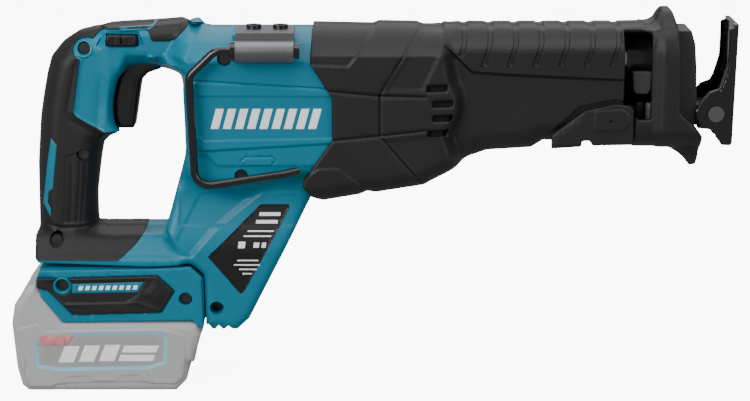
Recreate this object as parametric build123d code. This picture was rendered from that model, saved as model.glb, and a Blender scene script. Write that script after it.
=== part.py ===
from build123d import *
import os

# Cordless reciprocating saw. Millimetres. +X points out along the blade, +Z is up,
# and the right side of the tool is -Y. The origin is the mouth of the blade socket,
# on the spindle axis, with the spindle fully back.

# ---- driving dimensions ----
stroke = 32.0                 # travel of the spindle
crank_x = -149.0              # crank axis, behind the blade socket
crank_z = -23.0               # crank and motor axis, below the spindle axis
boot_x = -218.0               # back edge of the front cover, at its top
rear_x = -296.0               # front wall of the hand opening
deck_z = -104.0               # floor of the hand opening
foot_z = deck_z - 55.5        # underside of the foot, where the battery meets it
top_z = 20.0                  # top of the motor case

grip_width = 36.0
arch_width = 40.0
case_width = 77.0
leg_width = 60.0
foot_width = 74.0
boot_width = 82.0
barrel_width = 62.0

wall = 2.8                    # housing shells
skin = 1.5                    # soft grip layer
boot_wall = 3.0
casting_wall = 3.2
gap = 0.3                     # between pieces that only lie beside each other
seam = 0.4                    # shut line between covers
run = 0.05                    # radial running clearance
slide = 0.3                   # clearance of a slider on each side

# ---- drive train ----
spindle_r = 8.0
tang_half = 3.9               # half thickness of the flat part of the spindle
holder_r = 9.0
sleeve_r = 11.8
sleeve_len = 15.5
sleeve_front = -8.5
blade_slot = 2.0
tang_height = 13.0
pin_r = 2.0
crank_r = stroke / 2
roller_r = 5.0
gear_module = 1.5
pinion_teeth = 8
gear_teeth = 40
face_width = 6.0
gear_back = -16.0             # Y of the gear's plain face
axle_r = 5.0
axle_y0, axle_y1 = -33.0, -20.0   # the crank axle's bearing, along Y
shaft_r = 4.0
bearing_r = 9.0
bearing_w = 6.0
stator_r = 22.0
rotor_r = 13.0
air_gap = 0.6
stator_x0, stator_x1 = rear_x + 18, rear_x + 52
fan_r = 24.0

# ---- shoe ----
shoe_pin_x, shoe_pin_z = 30.2, -31.8
shoe_pin_r = 2.5
bar_half, bar_low, bar_high = 12.0, -37.0, -28.0
shoe_half, shoe_sheet = 19.5, 2.5
shoe_face = 41.0
lever_x, lever_z, lever_r = -32.5, -33.2, 9.6
lever_swing = 50

# ---- hook ----
wire_r = 2.5
hinge_y, hinge_z, hinge_r = -45.5, 11.3, 7.3
bracket_x0, bracket_x1 = rear_x + 33.2, rear_x + 68.1

# ---- trigger, lock-off button ----
trigger_half = 9.0
trigger_x, trigger_z = rear_x - 20.0, 1.0
trigger_swing = 7
lock_x0, lock_x1 = rear_x - 47.4, rear_x - 28.5
lock_z0, lock_z1 = 10.2, 16.9

# ---- battery ----
battery_half = 37.5
battery_wall = 2.2
battery_low = foot_z - 45.0
battery_split = foot_z - 17.0
cell_r, cell_len, cell_pitch = 9.2, 65.0, 19.5
cell_columns = 5
rail_neck, rail_head = 21.8, 26.2
rail_top = foot_z + 9.0

BIG = 900.0


# ---- shapes used all over ----
def outline(points, radius=0.0):
    """Flat face inside a closed run of (X, Z) points, its corners rounded if asked."""
    if radius:
        return make_face(FilletPolyline(*points, radius=radius, close=True))
    return make_face(Polyline(*points, close=True))


def side_prism(face, y_low, y_high):
    """A side outline given thickness between two Y stations."""
    return extrude(Plane.XZ.offset(-y_high) * face, amount=y_high - y_low)


def slab(points, half_width, edge_radius, inset=0.0):
    """Side outline thickened both ways, its flank edges rounded, and all of it inset."""
    face = outline(points)
    if inset:
        face = offset(face, amount=-inset, kind=Kind.INTERSECTION)
    body = side_prism(face, inset - half_width, half_width - inset)
    radius = edge_radius - inset
    if radius > 0.5:
        flanks = body.faces().sort_by(Axis.Y)
        body = fillet(flanks[0].edges() + flanks[-1].edges(), radius)
    return body


def block(x, y, z):
    """Box between two stations on each axis."""
    centre = Pos((x[0] + x[1]) / 2, (y[0] + y[1]) / 2, (z[0] + z[1]) / 2)
    return centre * Box(x[1] - x[0], y[1] - y[0], z[1] - z[0])


def rod_x(radius, x0, x1, y=0.0, z=0.0):
    return Pos((x0 + x1) / 2, y, z) * Rot(0, 90, 0) * Cylinder(radius, x1 - x0)


def rod_y(radius, y0, y1, x=0.0, z=0.0):
    return Pos(x, (y0 + y1) / 2, z) * Rot(90, 0, 0) * Cylinder(radius, y1 - y0)


def rod_z(radius, z0, z1, x=0.0, y=0.0):
    return Pos(x, y, (z0 + z1) / 2) * Cylinder(radius, z1 - z0)


def ring_x(outer, inner, x0, x1, y=0.0, z=0.0):
    return rod_x(outer, x0, x1, y, z) - rod_x(inner, x0 - 1, x1 + 1, y, z)


def right_half(shape):
    return shape & block((-BIG, BIG), (-BIG, 0), (-BIG, BIG))


def left_half(shape):
    return shape & block((-BIG, BIG), (0, BIG), (-BIG, BIG))


# ---- rear housing: handle, arch, motor case, leg and deck in one outer form ----
R, D = rear_x, deck_z

handle_points = [
    (R - 93.7, D - 21), (R - 93.3, D + 48), (R - 90, -28), (R - 83, 2), (R - 71, 15.5),
    (R - 55, 20), (R - 29, 21.5), (R - 29, -5), (R - 40, -5), (R - 46, -46),
    (R - 53.5, -55), (R - 58.5, D + 4), (R - 58, D - 21)]
arch_points = [
    (R - 58, top_z), (R - 17, top_z + 2.4), (R + 4, top_z + 4.5), (R + 14, top_z), (R + 30, top_z),
    (R + 30, -20), (R + 1, -16), (R - 4, -8.5), (R - 16, -5), (R - 58, -5)]
case_points = [
    (R + 1, -16), (R + 5, 10), (R + 14, top_z), (boot_x + 20, top_z), (boot_x + 20, -66),
    (boot_x + 1, -81), (R + 4, -78), (R + 1, -52)]
leg_points = [
    (R, -40), (R, -56), (R - 13, D + 1), (R - 13, D - 21), (R + 3.4, D - 21), (R + 11.4, D - 28),
    (R + 11.4, foot_z - 4.5), (R + 31.5, foot_z - 5), (R + 39, foot_z + 1.5), (boot_x + 1, -79.5),
    (boot_x - 8, -50)]
deck_points = [
    (-foot_width / 2, D - 21), (-foot_width / 2, D - 16), (-grip_width / 2 - 2, D),
    (grip_width / 2 + 2, D), (foot_width / 2, D - 16), (foot_width / 2, D - 21)]
border_points = [
    (boot_x, 60), (boot_x, 2), (boot_x + 12.7, -18), (boot_x + 12.8, -45), (boot_x - 4.6, -69.5),
    (boot_x, -76.5), (boot_x + 6, -80), (boot_x + 6, -95)]


def deck_blank(inset):
    face = make_face(Polyline(*deck_points, close=True))
    if inset:
        face = offset(face, amount=-inset, kind=Kind.INTERSECTION)
    x0, x1 = R - 93.7 + inset, R + 3 - inset
    return extrude(Plane.YZ.offset(x0) * face, amount=x1 - x0)


def housing_blank(inset=0.0):
    body = slab(case_points, case_width / 2, 12.0, inset)
    body += slab(leg_points, leg_width / 2, 6.0, inset)
    body += slab(arch_points, arch_width / 2, 6.0, inset)
    body += slab(handle_points, grip_width / 2, 11.0, inset)
    body += deck_blank(inset)
    return body


def behind_border(clear):
    """Everything behind the zigzag edge of the front cover, less a clearance."""
    points = border_points[:-1] + [(boot_x + 6, -BIG), (-BIG, -BIG), (-BIG, 60)]
    face = Pos(-clear, 0) * make_face(Polyline(*points, close=True))
    return side_prism(face, -BIG, BIG)


case_screws = [
    (R - 61.3, 8.2), (R - 63.7, -57.9), (R - 80.4, D - 6.5), (R + 25.8, 4.9), (R + 35.1, -66.9),
    (R + 18.9, foot_z + 8.8)]
foot_screws = [(R - 76.2, D - 32.2), (R - 0.3, D - 40.9)]
head_r, shank_r = 3.4, 1.9
boss_r = 5.0


def flank_y(x, z):
    """Half width of the housing where a screw goes in."""
    if z < foot_z + 40 and x < R + 12:
        return foot_width / 2
    if x < R - 40:
        return grip_width / 2 if z > D else foot_width / 2 - 9
    return case_width / 2 if z > -75 else leg_width / 2


def screw_bosses(places):
    bosses = Part()
    for x, z in places:
        bosses += rod_y(boss_r, -flank_y(x, z), flank_y(x, z), x, z)
    return bosses


def screw_holes(places):
    holes = Part()
    for x, z in places:
        holes += rod_y(head_r + 0.6, -BIG / 2, 6 - flank_y(x, z), x, z)
        holes += rod_y(shank_r + 0.1, -flank_y(x, z), 6, x, z)
    return holes


def screws(places):
    group = Part()
    for x, z in places:
        seat = 6 - flank_y(x, z)
        group += rod_y(head_r, seat - 3, seat, x, z) + rod_y(shank_r, seat, 5, x, z)
    return group


trigger_points = [
    (R - 15, -5.8), (R - 23.5, -8.6), (R - 27.8, -13.5), (R - 32.3, -41.5), (R - 33, -43.2),
    (R - 42, -43.2), (R - 44.6, -38), (R - 45, -26), (R - 42, -12), (R - 37, 0), (R - 29, 3.5),
    (R - 17, 3.5), (R - 14, 0)]


def trigger_form(clear=0.0, turn=0.0):
    face = outline(trigger_points)
    if clear:
        face = offset(face, amount=clear, kind=Kind.ARC)
    body = side_prism(face, -trigger_half - clear, trigger_half + clear)
    pivot = Pos(trigger_x, 0, trigger_z)
    return pivot * Rot(0, turn, 0) * Pos(-trigger_x, 0, -trigger_z) * body


def make_trigger():
    body = side_prism(outline(trigger_points), -trigger_half, trigger_half)
    return body - rod_y(1.5 + run, -20, 20, trigger_x, trigger_z)


def make_trigger_pin():
    half = arch_width / 2 - wall - 3 * gap
    return rod_y(1.5, -half, half, trigger_x, trigger_z)


def trigger_room():
    room = Part()
    for stop in range(6):
        room += trigger_form(0.5, trigger_swing * stop / 5)
    return room


def lock_button(clear=0.0, y_reach=21.5):
    x0, x1 = lock_x0 - clear, lock_x1 + clear
    z0, z1 = lock_z0 - clear, lock_z1 + clear
    corner = 3.0
    face = Pos((x0 + x1) / 2, (z0 + z1) / 2) * RectangleRounded(x1 - x0, z1 - z0, corner)
    return side_prism(face, -y_reach, y_reach)


grip_points = [
    (-BIG, D - 16.8), (R - 41, D - 16.8), (R - 31, D - 6), (R - 24, D + 6), (R - 49, D + 14),
    (R - 44, -50), (R - 50, -42.7), (R - 68, -33), (R - 63, 2.5), (R - 56, 17), (R - 52, top_z),
    (R - 23, top_z + 0.4), (R - 20, top_z - 7), (R - 6, top_z - 6), (R + 2, top_z + 1.4),
    (R + 3, 60), (-BIG, 60)]


def cover_zone():
    return side_prism(outline(grip_points), -BIG / 2, BIG / 2)


def make_bracket():
    plate = block((bracket_x0, bracket_x1), (-40, -16), (top_z + 0.1, top_z + 2.3))
    web = block((bracket_x0, bracket_x1), (hinge_y - 1.5, -37.8), (hinge_z, top_z + 2.3))
    barrel = rod_x(hinge_r, bracket_x0, bracket_x1, hinge_y, hinge_z)
    bore = rod_x(wire_r + 0.08, bracket_x0 - 1, bracket_x1 + 1, hinge_y, hinge_z)
    body = plate + web + barrel - bore
    for x, y in bracket_screw_places:
        body -= rod_z(2.6, 0, 60, x, y)
    return body


bracket_screw_places = [(R + 43.4, -26.0), (R + 59.5, -26.0)]


def bracket_room():
    web = block((bracket_x0 - gap, bracket_x1 + gap), (-60, -37.5), (hinge_z - 2, 60))
    return web + rod_x(hinge_r + gap, bracket_x0 - 4, bracket_x1 + 5, hinge_y, hinge_z)


def motor_ribs():
    inside = slab(case_points, case_width / 2, 12.0, wall - 0.2)
    plates = Part()
    for x in (stator_x0 + 3, stator_x1 - 6):
        plates += block((x, x + 3), (-60, 60), (-90, 40)) - rod_x(stator_r + 0.1, x - 1, x + 4, 0, crank_z)
    bearing_x = R + 6
    plates += block((bearing_x + 3, bearing_x + bearing_w), (-60, 60), (-90, 40))
    plates += rod_x(bearing_r + 3, bearing_x - 1, bearing_x + bearing_w, 0, crank_z)
    plates -= rod_x(bearing_r + 0.02, bearing_x, bearing_x + bearing_w + 1, 0, crank_z)
    plates -= rod_x(shaft_r + 1, bearing_x - 5, bearing_x + bearing_w + 1, 0, crank_z)
    return plates & inside


def make_housing():
    cavity = housing_blank(wall)
    body = housing_blank() - cavity
    body += screw_bosses(case_screws) & housing_blank(0.4)
    body += motor_ribs()
    for x, y in bracket_screw_places:
        body += rod_z(5.5, 4, top_z - 1, x, y)
        body -= rod_z(2.5, 5, 60, x, y)
    body -= screw_holes(case_screws)
    body &= behind_border(seam / 2)
    body -= trigger_room()
    body -= lock_button(slide, BIG)
    body -= bracket_room()
    return body


def make_grip_cover():
    layer = (housing_blank() - housing_blank(skin)) & cover_zone()
    layer -= screw_holes(case_screws)
    layer -= trigger_room()
    layer -= lock_button(slide, BIG)
    return layer


# ---- foot: two covers that carry the battery rails ----
foot_points = [
    (R - 90, D - 22.4 + 1), (R - 92.5, D - 29.5), (R - 90, D - 36), (R - 76.2, foot_z),
    (R + 11, foot_z), (R + 11, D - 28.4), (R + 3.2, D - 21.4)]
bumper_points = [
    (R - 89.3, D - 27.3), (R - 17.3, D - 25.8), (R - 6.9, D - 35.6), (R - 15.6, D - 49.6),
    (R - 70.4, D - 51.1), (R - 85.2, D - 35.2), (R - 89.3, D - 34.2)]
bumper_depth, bumper_proud = 1.4, 1.3


def make_foot():
    body = slab(foot_points, foot_width / 2, 4.0) - slab(foot_points, foot_width / 2, 4.0, wall)
    body += screw_bosses(foot_screws) & slab(foot_points, foot_width / 2, 4.0, 0.4)
    body -= screw_holes(foot_screws)
    neck, head = rail_neck + gap, rail_head + gap
    body -= block((-BIG, R - 3.6), (-neck, neck), (foot_z - 1, foot_z + wall + 1))
    body -= block((-BIG, R - 70), (-head, head), (foot_z - 1, rail_top + gap))
    zone = side_prism(outline(bumper_points), -BIG / 2, BIG / 2)
    body -= zone - block((-BIG, BIG), (bumper_depth - foot_width / 2, foot_width / 2 - bumper_depth),
                         (-BIG, BIG))
    return body


def make_bumper(side):
    face = offset(outline(bumper_points), amount=-0.05, kind=Kind.INTERSECTION)
    inner, outer = foot_width / 2 - bumper_depth, foot_width / 2 + bumper_proud
    low, high = (-outer, -inner) if side < 0 else (inner, outer)
    body = side_prism(face, low, high)
    outer_face = body.faces().sort_by(Axis.Y)[0 if side < 0 else -1]
    body = chamfer(outer_face.edges(), 1.0)
    x, z = foot_screws[0]
    return body - rod_y(head_r + 2.2, -BIG / 2, BIG / 2, x, z)


def make_rating_plate():
    points = [
        (R + 46.5, D + 17.7), (R + 63.8, D + 17.7), (R + 64.4, D + 16.3), (R + 35.2, D - 37.1),
        (R + 33.8, D - 37.7), (R + 13.8, D - 14)]
    return side_prism(outline(points), -leg_width / 2 - 0.5, -leg_width / 2)


# ---- front cover: soft boot over the gear case, with a flange in front ----
hump_x = -128.0               # where the wide rear of the front cover ends
boot_points = [
    (boot_x - 14, 21.5), (hump_x, 21.7), (hump_x, -62.3), (-149.5, -74), (-188, -79.5), (-211, -83.5),
    (boot_x - 14, -83.5)]
barrel_points = [
    (-150, 21.7), (-4, 22), (-4, -51.9), (-45, -51.9), (-47, -49), (-77, -49), (-83, -52.6),
    (-110.5, -54.4), (-121, -58.5), (-150, -74)]
flange_points = [
    (-5.6, 10), (-5.6, 24), (-5, 27.3), (-1.9, 31.8), (2.1, 29.9), (4.5, 24), (5, 20.4), (6, -3.5),
    (6.3, -28.7), (7.5, -50), (-6, -52)]
chin_points = [
    (0, -30), (7.4, -30.8), (18.5, -41.4), (20.7, -44.6), (19.8, -58.9), (18.7, -63.6),
    (14.1, -63.9), (11.3, -59.6), (7.2, -55.9), (0, -51.9)]
nose_points = [(-8, 19), (14.4, 18.8), (16.9, 10.9), (17.9, -2.2), (19.1, -39.5), (-8, -39.5)]
nose_half = 16.0
flange_half, chin_half = 34.0, 16.0
window_x0, window_x1, window_z0, window_z1 = -27.6, -11.0, -22.0, 20.0
vent_places = [(-141.7, -12.5), (-138.3, -22.0), (-138.2, -30.9), (-141.2, -40.2)]
vent_len, vent_high = 12.5, 4.2
lever_points = [
    (lever_x + 11, -27), (lever_x, -23.6), (-51.5, -27.7), (-71.7, -43), (-71.6, -51.3),
    (-53.1, -50), (-46.7, -49.5), (lever_x + 11, -41)]
lever_front, lever_back = -32.2, -28.3


def boot_blank(inset=0.0):
    rear = slab(boot_points, boot_width / 2, 11.0, inset)
    return rear + slab(barrel_points, barrel_width / 2, 10.0, inset)


def lever_form(clear=0.0, turn=0.0):
    face = outline(lever_points, 2.0)
    if clear:
        face = offset(face, amount=clear)
    body = side_prism(face, lever_front - 3 * clear, lever_back + clear)
    return Pos(lever_x, 0, lever_z) * Rot(0, -turn, 0) * Pos(-lever_x, 0, -lever_z) * body


def lever_room():
    room = Part()
    steps = 5
    for step in range(steps + 1):
        room += lever_form(0.5, lever_swing * step / steps)
    return room


def nose_form(clear=0.0):
    face = outline(nose_points)
    if clear:
        face = offset(face, amount=clear, kind=Kind.INTERSECTION)
    return side_prism(face, -nose_half - clear, nose_half + clear)


def make_front_cover():
    body = boot_blank() - boot_blank(boot_wall)
    body -= behind_border(-seam / 2)
    body += slab(flange_points, flange_half, 2.0)
    body += side_prism(outline(chin_points, 1.0), -chin_half, chin_half)
    body -= boot_blank(boot_wall) & block((-60, -7), (-60, 60), (-60, 60))
    body -= nose_form(gap)
    body -= block((window_x0, window_x1), (-60, 60), (window_z0, window_z1))
    for x, z in vent_places:
        body -= block((x - vent_len / 2, x + vent_len / 2), (-60, 60),
                      (z - vent_high / 2, z + vent_high / 2))
    body -= lever_room()
    body -= block((-20, 30), (-bar_half - 0.5, bar_half + 0.5), (bar_low - 0.5, bar_high + 0.5))
    return body


lamp_half, lamp_z0, lamp_z1 = 7.0, -24.5, -18.5


def bar_channel(x0, x1):
    """The way that the shoe's bar slides in."""
    half = bar_half + slide
    return block((x0, x1), (-half, half), (bar_low - slide, bar_high + slide))


def make_nose_cap():
    body = nose_form() - rod_x(sleeve_r + 0.6, -20, 40)
    body -= bar_channel(-20, 40)
    body -= block((13.5, 40), (-lamp_half - 0.2, lamp_half + 0.2), (lamp_z0 - 0.2, lamp_z1 + 0.2))
    return body


def make_lamp_lens():
    return block((13.7, 18.2), (-lamp_half, lamp_half), (lamp_z0, lamp_z1))


# ---- gear case and what it carries ----
gear_x0, gear_x1 = boot_x + 15, -28.0
front_block_x = -62.0
bushing_r, bushing_x0, bushing_x1 = 11.0, -60.0, -38.0
guide_x0, guide_x1 = -113.0, -105.0
guide_half_y, guide_half_z, flat_half_z = 8.0, 11.0, 7.0


def make_gear_case():
    form = boot_blank(boot_wall + gap)
    inner = boot_blank(boot_wall + gap + casting_wall)
    body = form & block((gear_x0, gear_x1), (-60, 60), (-90, 60))
    body -= inner & block((-BIG, front_block_x), (-60, 60), (-90, 60))
    body += inner & block((guide_x0, guide_x1), (-60, 60), (-90, 60))
    boss_y = -boot_width / 2 + boot_wall + gap + 1
    body += rod_y(bearing_r + 4, boss_y, gear_back - 2, crank_x, crank_z)
    body -= rod_y(bearing_r + 0.02, axle_y0 - 0.2, gear_back, crank_x, crank_z)
    body -= rod_x(bushing_r, front_block_x - 1, bushing_x1)
    body -= rod_x(sleeve_r + 0.8, bushing_x1, 0)
    body -= block((guide_x0 - 1, guide_x1 + 1), (-guide_half_y, guide_half_y),
                  (-guide_half_z, guide_half_z))
    body -= bar_channel(front_block_x - 1, 0)
    body -= rod_y(4 + run, -60, -bar_half - 0.1, lever_x, lever_z)
    return body


def make_rear_guide():
    body = block((guide_x0, guide_x1), (-guide_half_y, guide_half_y),
                 (-guide_half_z, guide_half_z))
    return body - block((guide_x0 - 1, guide_x1 + 1), (-tang_half - 0.1, tang_half + 0.1),
                        (-flat_half_z - 0.1, flat_half_z + 0.1))


def make_front_bushing():
    return ring_x(bushing_r, spindle_r + run, bushing_x0, bushing_x1 - 2)


def make_spindle_seal():
    return ring_x(bushing_r, spindle_r + run, bushing_x1 - 1.8, bushing_x1 - 0.2)


bracket_back = boot_x + 6
motor_front_x = boot_x + 6.5


def make_motor_bracket():
    body = slab(case_points, case_width / 2, 12.0, wall + gap)
    body &= block((bracket_back, gear_x0 - gap), (-60, 60), (-90, 40))
    body &= behind_border(-20)
    body -= rod_x(bearing_r + 0.02, bracket_back - 1, motor_front_x + bearing_w, 0, crank_z)
    body -= rod_x(shaft_r + 3.6, bracket_back - 1, gear_x0 + 1, 0, crank_z)
    return body


def make_rotor_bearings():
    front = ring_x(bearing_r, shaft_r, motor_front_x, motor_front_x + bearing_w, 0, crank_z)
    rear = ring_x(bearing_r, shaft_r, R + 6, R + 6 + bearing_w, 0, crank_z)
    return front + rear


def make_crank_bearings():
    body = rod_y(bearing_r, axle_y0, axle_y1, crank_x, crank_z)
    return body - rod_y(axle_r + run, -60, 0, crank_x, crank_z)


def make_stator_core():
    body = ring_x(stator_r, rotor_r + air_gap + 3.5, stator_x0, stator_x1, 0, crank_z)
    for index in range(6):
        tooth = block((stator_x0, stator_x1), (-2.5, 2.5), (rotor_r + air_gap, stator_r - 1))
        body += Pos(0, 0, crank_z) * Rot(index * 60, 0, 0) * tooth
    return body


def make_stator_coils():
    coils = Part()
    coil_low, coil_high = rotor_r + air_gap + 0.6, rotor_r + air_gap + 2.8
    for index in range(6):
        over = block((stator_x0 - 5, stator_x1 + 5), (-4.2, 4.2), (coil_low, coil_high))
        core = block((stator_x0 - 0.2, stator_x1 + 0.2), (-2.7, 2.7), (0, stator_r))
        coils += Pos(0, 0, crank_z) * Rot(index * 60, 0, 0) * (over - core)
    return coils


fan_x0, fan_x1 = stator_x1 + 7, stator_x1 + 15


def make_rotor_shaft():
    return rod_x(shaft_r - 0.02, R + 6.5, pinion_x1 - 0.5, 0, crank_z)


def make_rotor_core():
    return ring_x(rotor_r, shaft_r, stator_x0 + 1, stator_x1 - 1, 0, crank_z)


def make_fan():
    body = ring_x(fan_r, shaft_r, fan_x0, fan_x0 + 2, 0, crank_z)
    blades = 11
    body += ring_x(shaft_r + 4, shaft_r, fan_x0, fan_x1, 0, crank_z)
    rim = rod_x(fan_r, fan_x0 - 1, fan_x1 + 1, 0, crank_z)
    for index in range(blades):
        blade = Pos(0, 4, 0) * Rot(18, 0, 0) * block((fan_x0, fan_x1), (-0.8, 0.8), (10, fan_r))
        body += (Pos(0, 0, crank_z) * Rot(index * 360 / blades, 0, 0) * blade) & rim
    return body


pinion_r = gear_module * pinion_teeth / 2
gear_r = gear_module * gear_teeth / 2
tooth_out, tooth_in = 1.3, 1.6
pinion_x0 = crank_x - gear_r - face_width / 2
pinion_x1 = crank_x - gear_r + face_width / 2


def make_pinion():
    root = pinion_r - tooth_in
    body = rod_x(root, pinion_x0 - 12, pinion_x1, 0, crank_z)
    for index in range(pinion_teeth):
        tooth = Polyline((-1.1, root - 0.4), (1.1, root - 0.4), (0.5, pinion_r + tooth_out),
                         (-0.5, pinion_r + tooth_out), close=True)
        tooth = extrude(Plane.YZ.offset(pinion_x0) * make_face(tooth), amount=face_width)
        body += Pos(0, 0, crank_z) * Rot(90 + (index + 0.5) * 360 / pinion_teeth, 0, 0) * tooth
    return body - rod_x(shaft_r - 0.02, -BIG, pinion_x1 - 0.5, 0, crank_z)


def make_crank_gear():
    pitch_y = -pinion_r
    root_y = pitch_y - tooth_in - 0.2
    body = rod_y(gear_r + face_width / 2, gear_back, root_y, crank_x, crank_z)
    for index in range(gear_teeth):
        tooth = Polyline((-0.9, root_y - 0.4), (0.9, root_y - 0.4), (0.55, pitch_y + tooth_out),
                         (-0.55, pitch_y + tooth_out), close=True)
        tooth = Plane.XY.offset(gear_r - face_width / 2) * make_face(tooth)
        tooth = extrude(tooth, amount=face_width - 0.5)
        body += Pos(crank_x, 0, crank_z) * Rot(0, -90 + index * 360 / gear_teeth, 0) * tooth
    body += rod_y(axle_r, axle_y0, gear_back, crank_x, crank_z)
    return body


def make_crank_roller():
    return rod_y(roller_r, -pinion_r - tooth_in - 0.2, -tang_half - 0.4, crank_x - crank_r, crank_z)


def make_spindle_rod():
    yoke_x = crank_x - crank_r
    slot_x = roller_r + 0.3
    low = crank_z - crank_r - roller_r - 4
    body = rod_x(spindle_r, guide_x1 + 5, -30)
    body += block((yoke_x, guide_x1 + 6), (-tang_half, tang_half), (-flat_half_z, flat_half_z))
    body += block((yoke_x - 9, yoke_x + 9), (-tang_half, tang_half), (low, flat_half_z))
    slot_top = crank_z + crank_r + roller_r + 0.5
    slot = block((yoke_x - slot_x, yoke_x + slot_x), (-10, 10), (low + 3.5, slot_top))
    return body - slot


def make_blade_holder():
    body = rod_x(holder_r, -30, 0)
    body -= block((-28, 1), (-blade_slot / 2, blade_slot / 2), (-tang_height / 2, tang_height / 2))
    return body - rod_y(pin_r + run, 0, 20, sleeve_front - 4, 0)


def make_lock_pin():
    return rod_y(pin_r, blade_slot / 2 + 0.2, holder_r - 0.3, sleeve_front - 4, 0)


def make_clamp_sleeve():
    body = ring_x(sleeve_r, holder_r + run, sleeve_front - sleeve_len, sleeve_front)
    for index in range(12):
        groove = Pos(0, sleeve_r + 0.6, 0) * block((sleeve_front - 13, sleeve_front - 2.5), (-1, 1), (-1, 1))
        body -= Rot(index * 30 + 15, 0, 0) * groove
    return body


# ---- shoe ----
def make_shoe_bar():
    body = block((-98, 22), (-bar_half, bar_half), (bar_low, bar_high))
    head_x0, head_x1 = 21, shoe_pin_x + 4.5
    body += block((head_x0, head_x1), (-shoe_half + shoe_sheet + gap, shoe_half - shoe_sheet - gap),
                  (bar_low, bar_high))
    return body - rod_y(shoe_pin_r + run, -60, 60, shoe_pin_x, shoe_pin_z)


def make_shoe_plate():
    rear = shoe_face - shoe_sheet
    cheek = outline([
        (rear, 20.8), (36.6, 18.4), (35.7, 8), (34.9, -4), (33.4, -11.5), (31.5, -16.8), (27.9, -17.7),
        (23.8, -21.4), (21.4, -26), (20, -31.8), (21.4, -39.5), (29.3, -41.8), (33.9, -51.7), (rear, -52)])
    inner = shoe_half - shoe_sheet
    body = block((rear, shoe_face), (-shoe_half, shoe_half), (-52, 20.8))
    body += side_prism(cheek, -shoe_half, -inner) + side_prism(cheek, inner, shoe_half)
    body -= block((20, 50), (-5.5, 5.5), (-30, 15))
    return body - rod_y(shoe_pin_r, -60, 60, shoe_pin_x, shoe_pin_z)


def make_shoe_pin():
    body = rod_y(shoe_pin_r, -shoe_half - 1, shoe_half + 1, shoe_pin_x, shoe_pin_z)
    body += rod_y(4.9, -shoe_half - 2, -shoe_half, shoe_pin_x, shoe_pin_z)
    return body + rod_y(4.0, shoe_half, shoe_half + 1.6, shoe_pin_x, shoe_pin_z)


def make_shoe_lever():
    return lever_form() + rod_y(4.0, lever_back - 1, -bar_half - 0.6, lever_x, lever_z)


# ---- hook ----
def make_hook_wire():
    points = [
        (bracket_x1 + 3.5, hinge_z), (R + 21, hinge_z), (R + 5, -4), (R + 7.7, -72.5),
        (R + 60, -64.4), (R + 71, -62)]
    path = Plane.XZ.offset(-hinge_y) * FilletPolyline(*points, radius=[9, 9, 9, 30])
    return sweep((path ^ 0) * Circle(wire_r), path=path)


def make_hook_collars():
    left = ring_x(6.0, wire_r, bracket_x0 - 3.1, bracket_x0 - 0.2, hinge_y, hinge_z)
    right = ring_x(4.6, wire_r, bracket_x1 + 0.2, bracket_x1 + 3.4, hinge_y, hinge_z)
    return left + right


def make_bracket_screws():
    group = Part()
    for x, y in bracket_screw_places:
        group += rod_z(4.6, top_z + 2.3, top_z + 4.6, x, y) + rod_z(2.4, 6, top_z + 2.3, x, y)
        group -= Pos(x, y, top_z + 4) * extrude(RegularPolygon(2.2, 6), amount=5)
    return group


# ---- handle electrics ----
def make_switch_module():
    half = grip_width / 2 - wall - gap
    body = block((R - 76, R - 53.5), (-half, half), (-41, -13))
    return fillet(body.edges().filter_by(Axis.Z), 4.0)


def make_controller():
    tray = Box(20, leg_width - 2 * wall - 2 * gap, 52)
    return Pos(R + 33, 0, D) * Rot(0, 21, 0) * tray


def make_terminal_block():
    return block((R - 3, R + 11 - wall - gap), (-19, 19), (foot_z + wall + gap, rail_top))


blade_places = (-12.0, 0.0, 12.0)


def make_contact_blades():
    group = Part()
    for y in blade_places:
        group += block((R - 17, R - 3), (y - 0.5, y + 0.5), (foot_z + 4.6, foot_z + 8.6))
    return group


# ---- battery ----
battery_points = [
    (R - 92.9, D - 31.2), (R - 98, D - 34), (R - 106.2, D - 45), (R - 108.4, foot_z - 1.5),
    (R - 106, foot_z - 31), (R - 103.6, foot_z - 41.5), (R - 99.5, battery_low), (R - 7, battery_low),
    (R - 0.6, foot_z - 38), (R + 1, foot_z - 27.5), (R + 6, foot_z - 18), (R + 8.5, foot_z - 8.5),
    (R + 7, foot_z - 2), (R + 3.5, foot_z - seam), (R - 76.4, foot_z - seam), (R - 90.5, D - 36)]
latch_x0, latch_x1, latch_half, latch_low = R - 105, R - 94.5, 13.0, D - 46.0
latch_travel = 4.0


def battery_blank(inset=0.0):
    return slab(battery_points, battery_half, 4.0, inset)


def make_battery_shell():
    body = battery_blank()
    body -= battery_blank(battery_wall)
    tongue = block((R - 92, R - 4), (-rail_neck, rail_neck), (foot_z - 2, foot_z + wall + seam))
    tongue += block((R - 92, R - 4), (-rail_head, rail_head), (foot_z + wall + seam, rail_top))
    body += tongue
    pocket_wall = 1.6
    body += battery_blank() & block((latch_x0 - gap - pocket_wall, latch_x1 + gap + pocket_wall),
                                    (-latch_half - gap - pocket_wall, latch_half + gap + pocket_wall),
                                    (latch_low - latch_travel - gap - pocket_wall, 0))
    body -= block((latch_x0 - gap, latch_x1 + gap), (-latch_half - gap, latch_half + gap),
                  (latch_low - latch_travel - gap, 0))
    for y in blade_places:
        body -= block((R - 18, R), (y - 1.2, y + 1.2), (foot_z + 4, foot_z + 30))
    return body


def make_battery_cover():
    return make_battery_shell() & block((-BIG, BIG), (-BIG, BIG), (battery_split + 0.1, BIG))


def make_battery_base():
    return make_battery_shell() & block((-BIG, BIG), (-BIG, BIG), (-BIG, battery_split - 0.1))


def make_battery_latch():
    return battery_blank(0.2) & block((latch_x0, latch_x1), (-latch_half, latch_half), (latch_low, 0))


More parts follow.
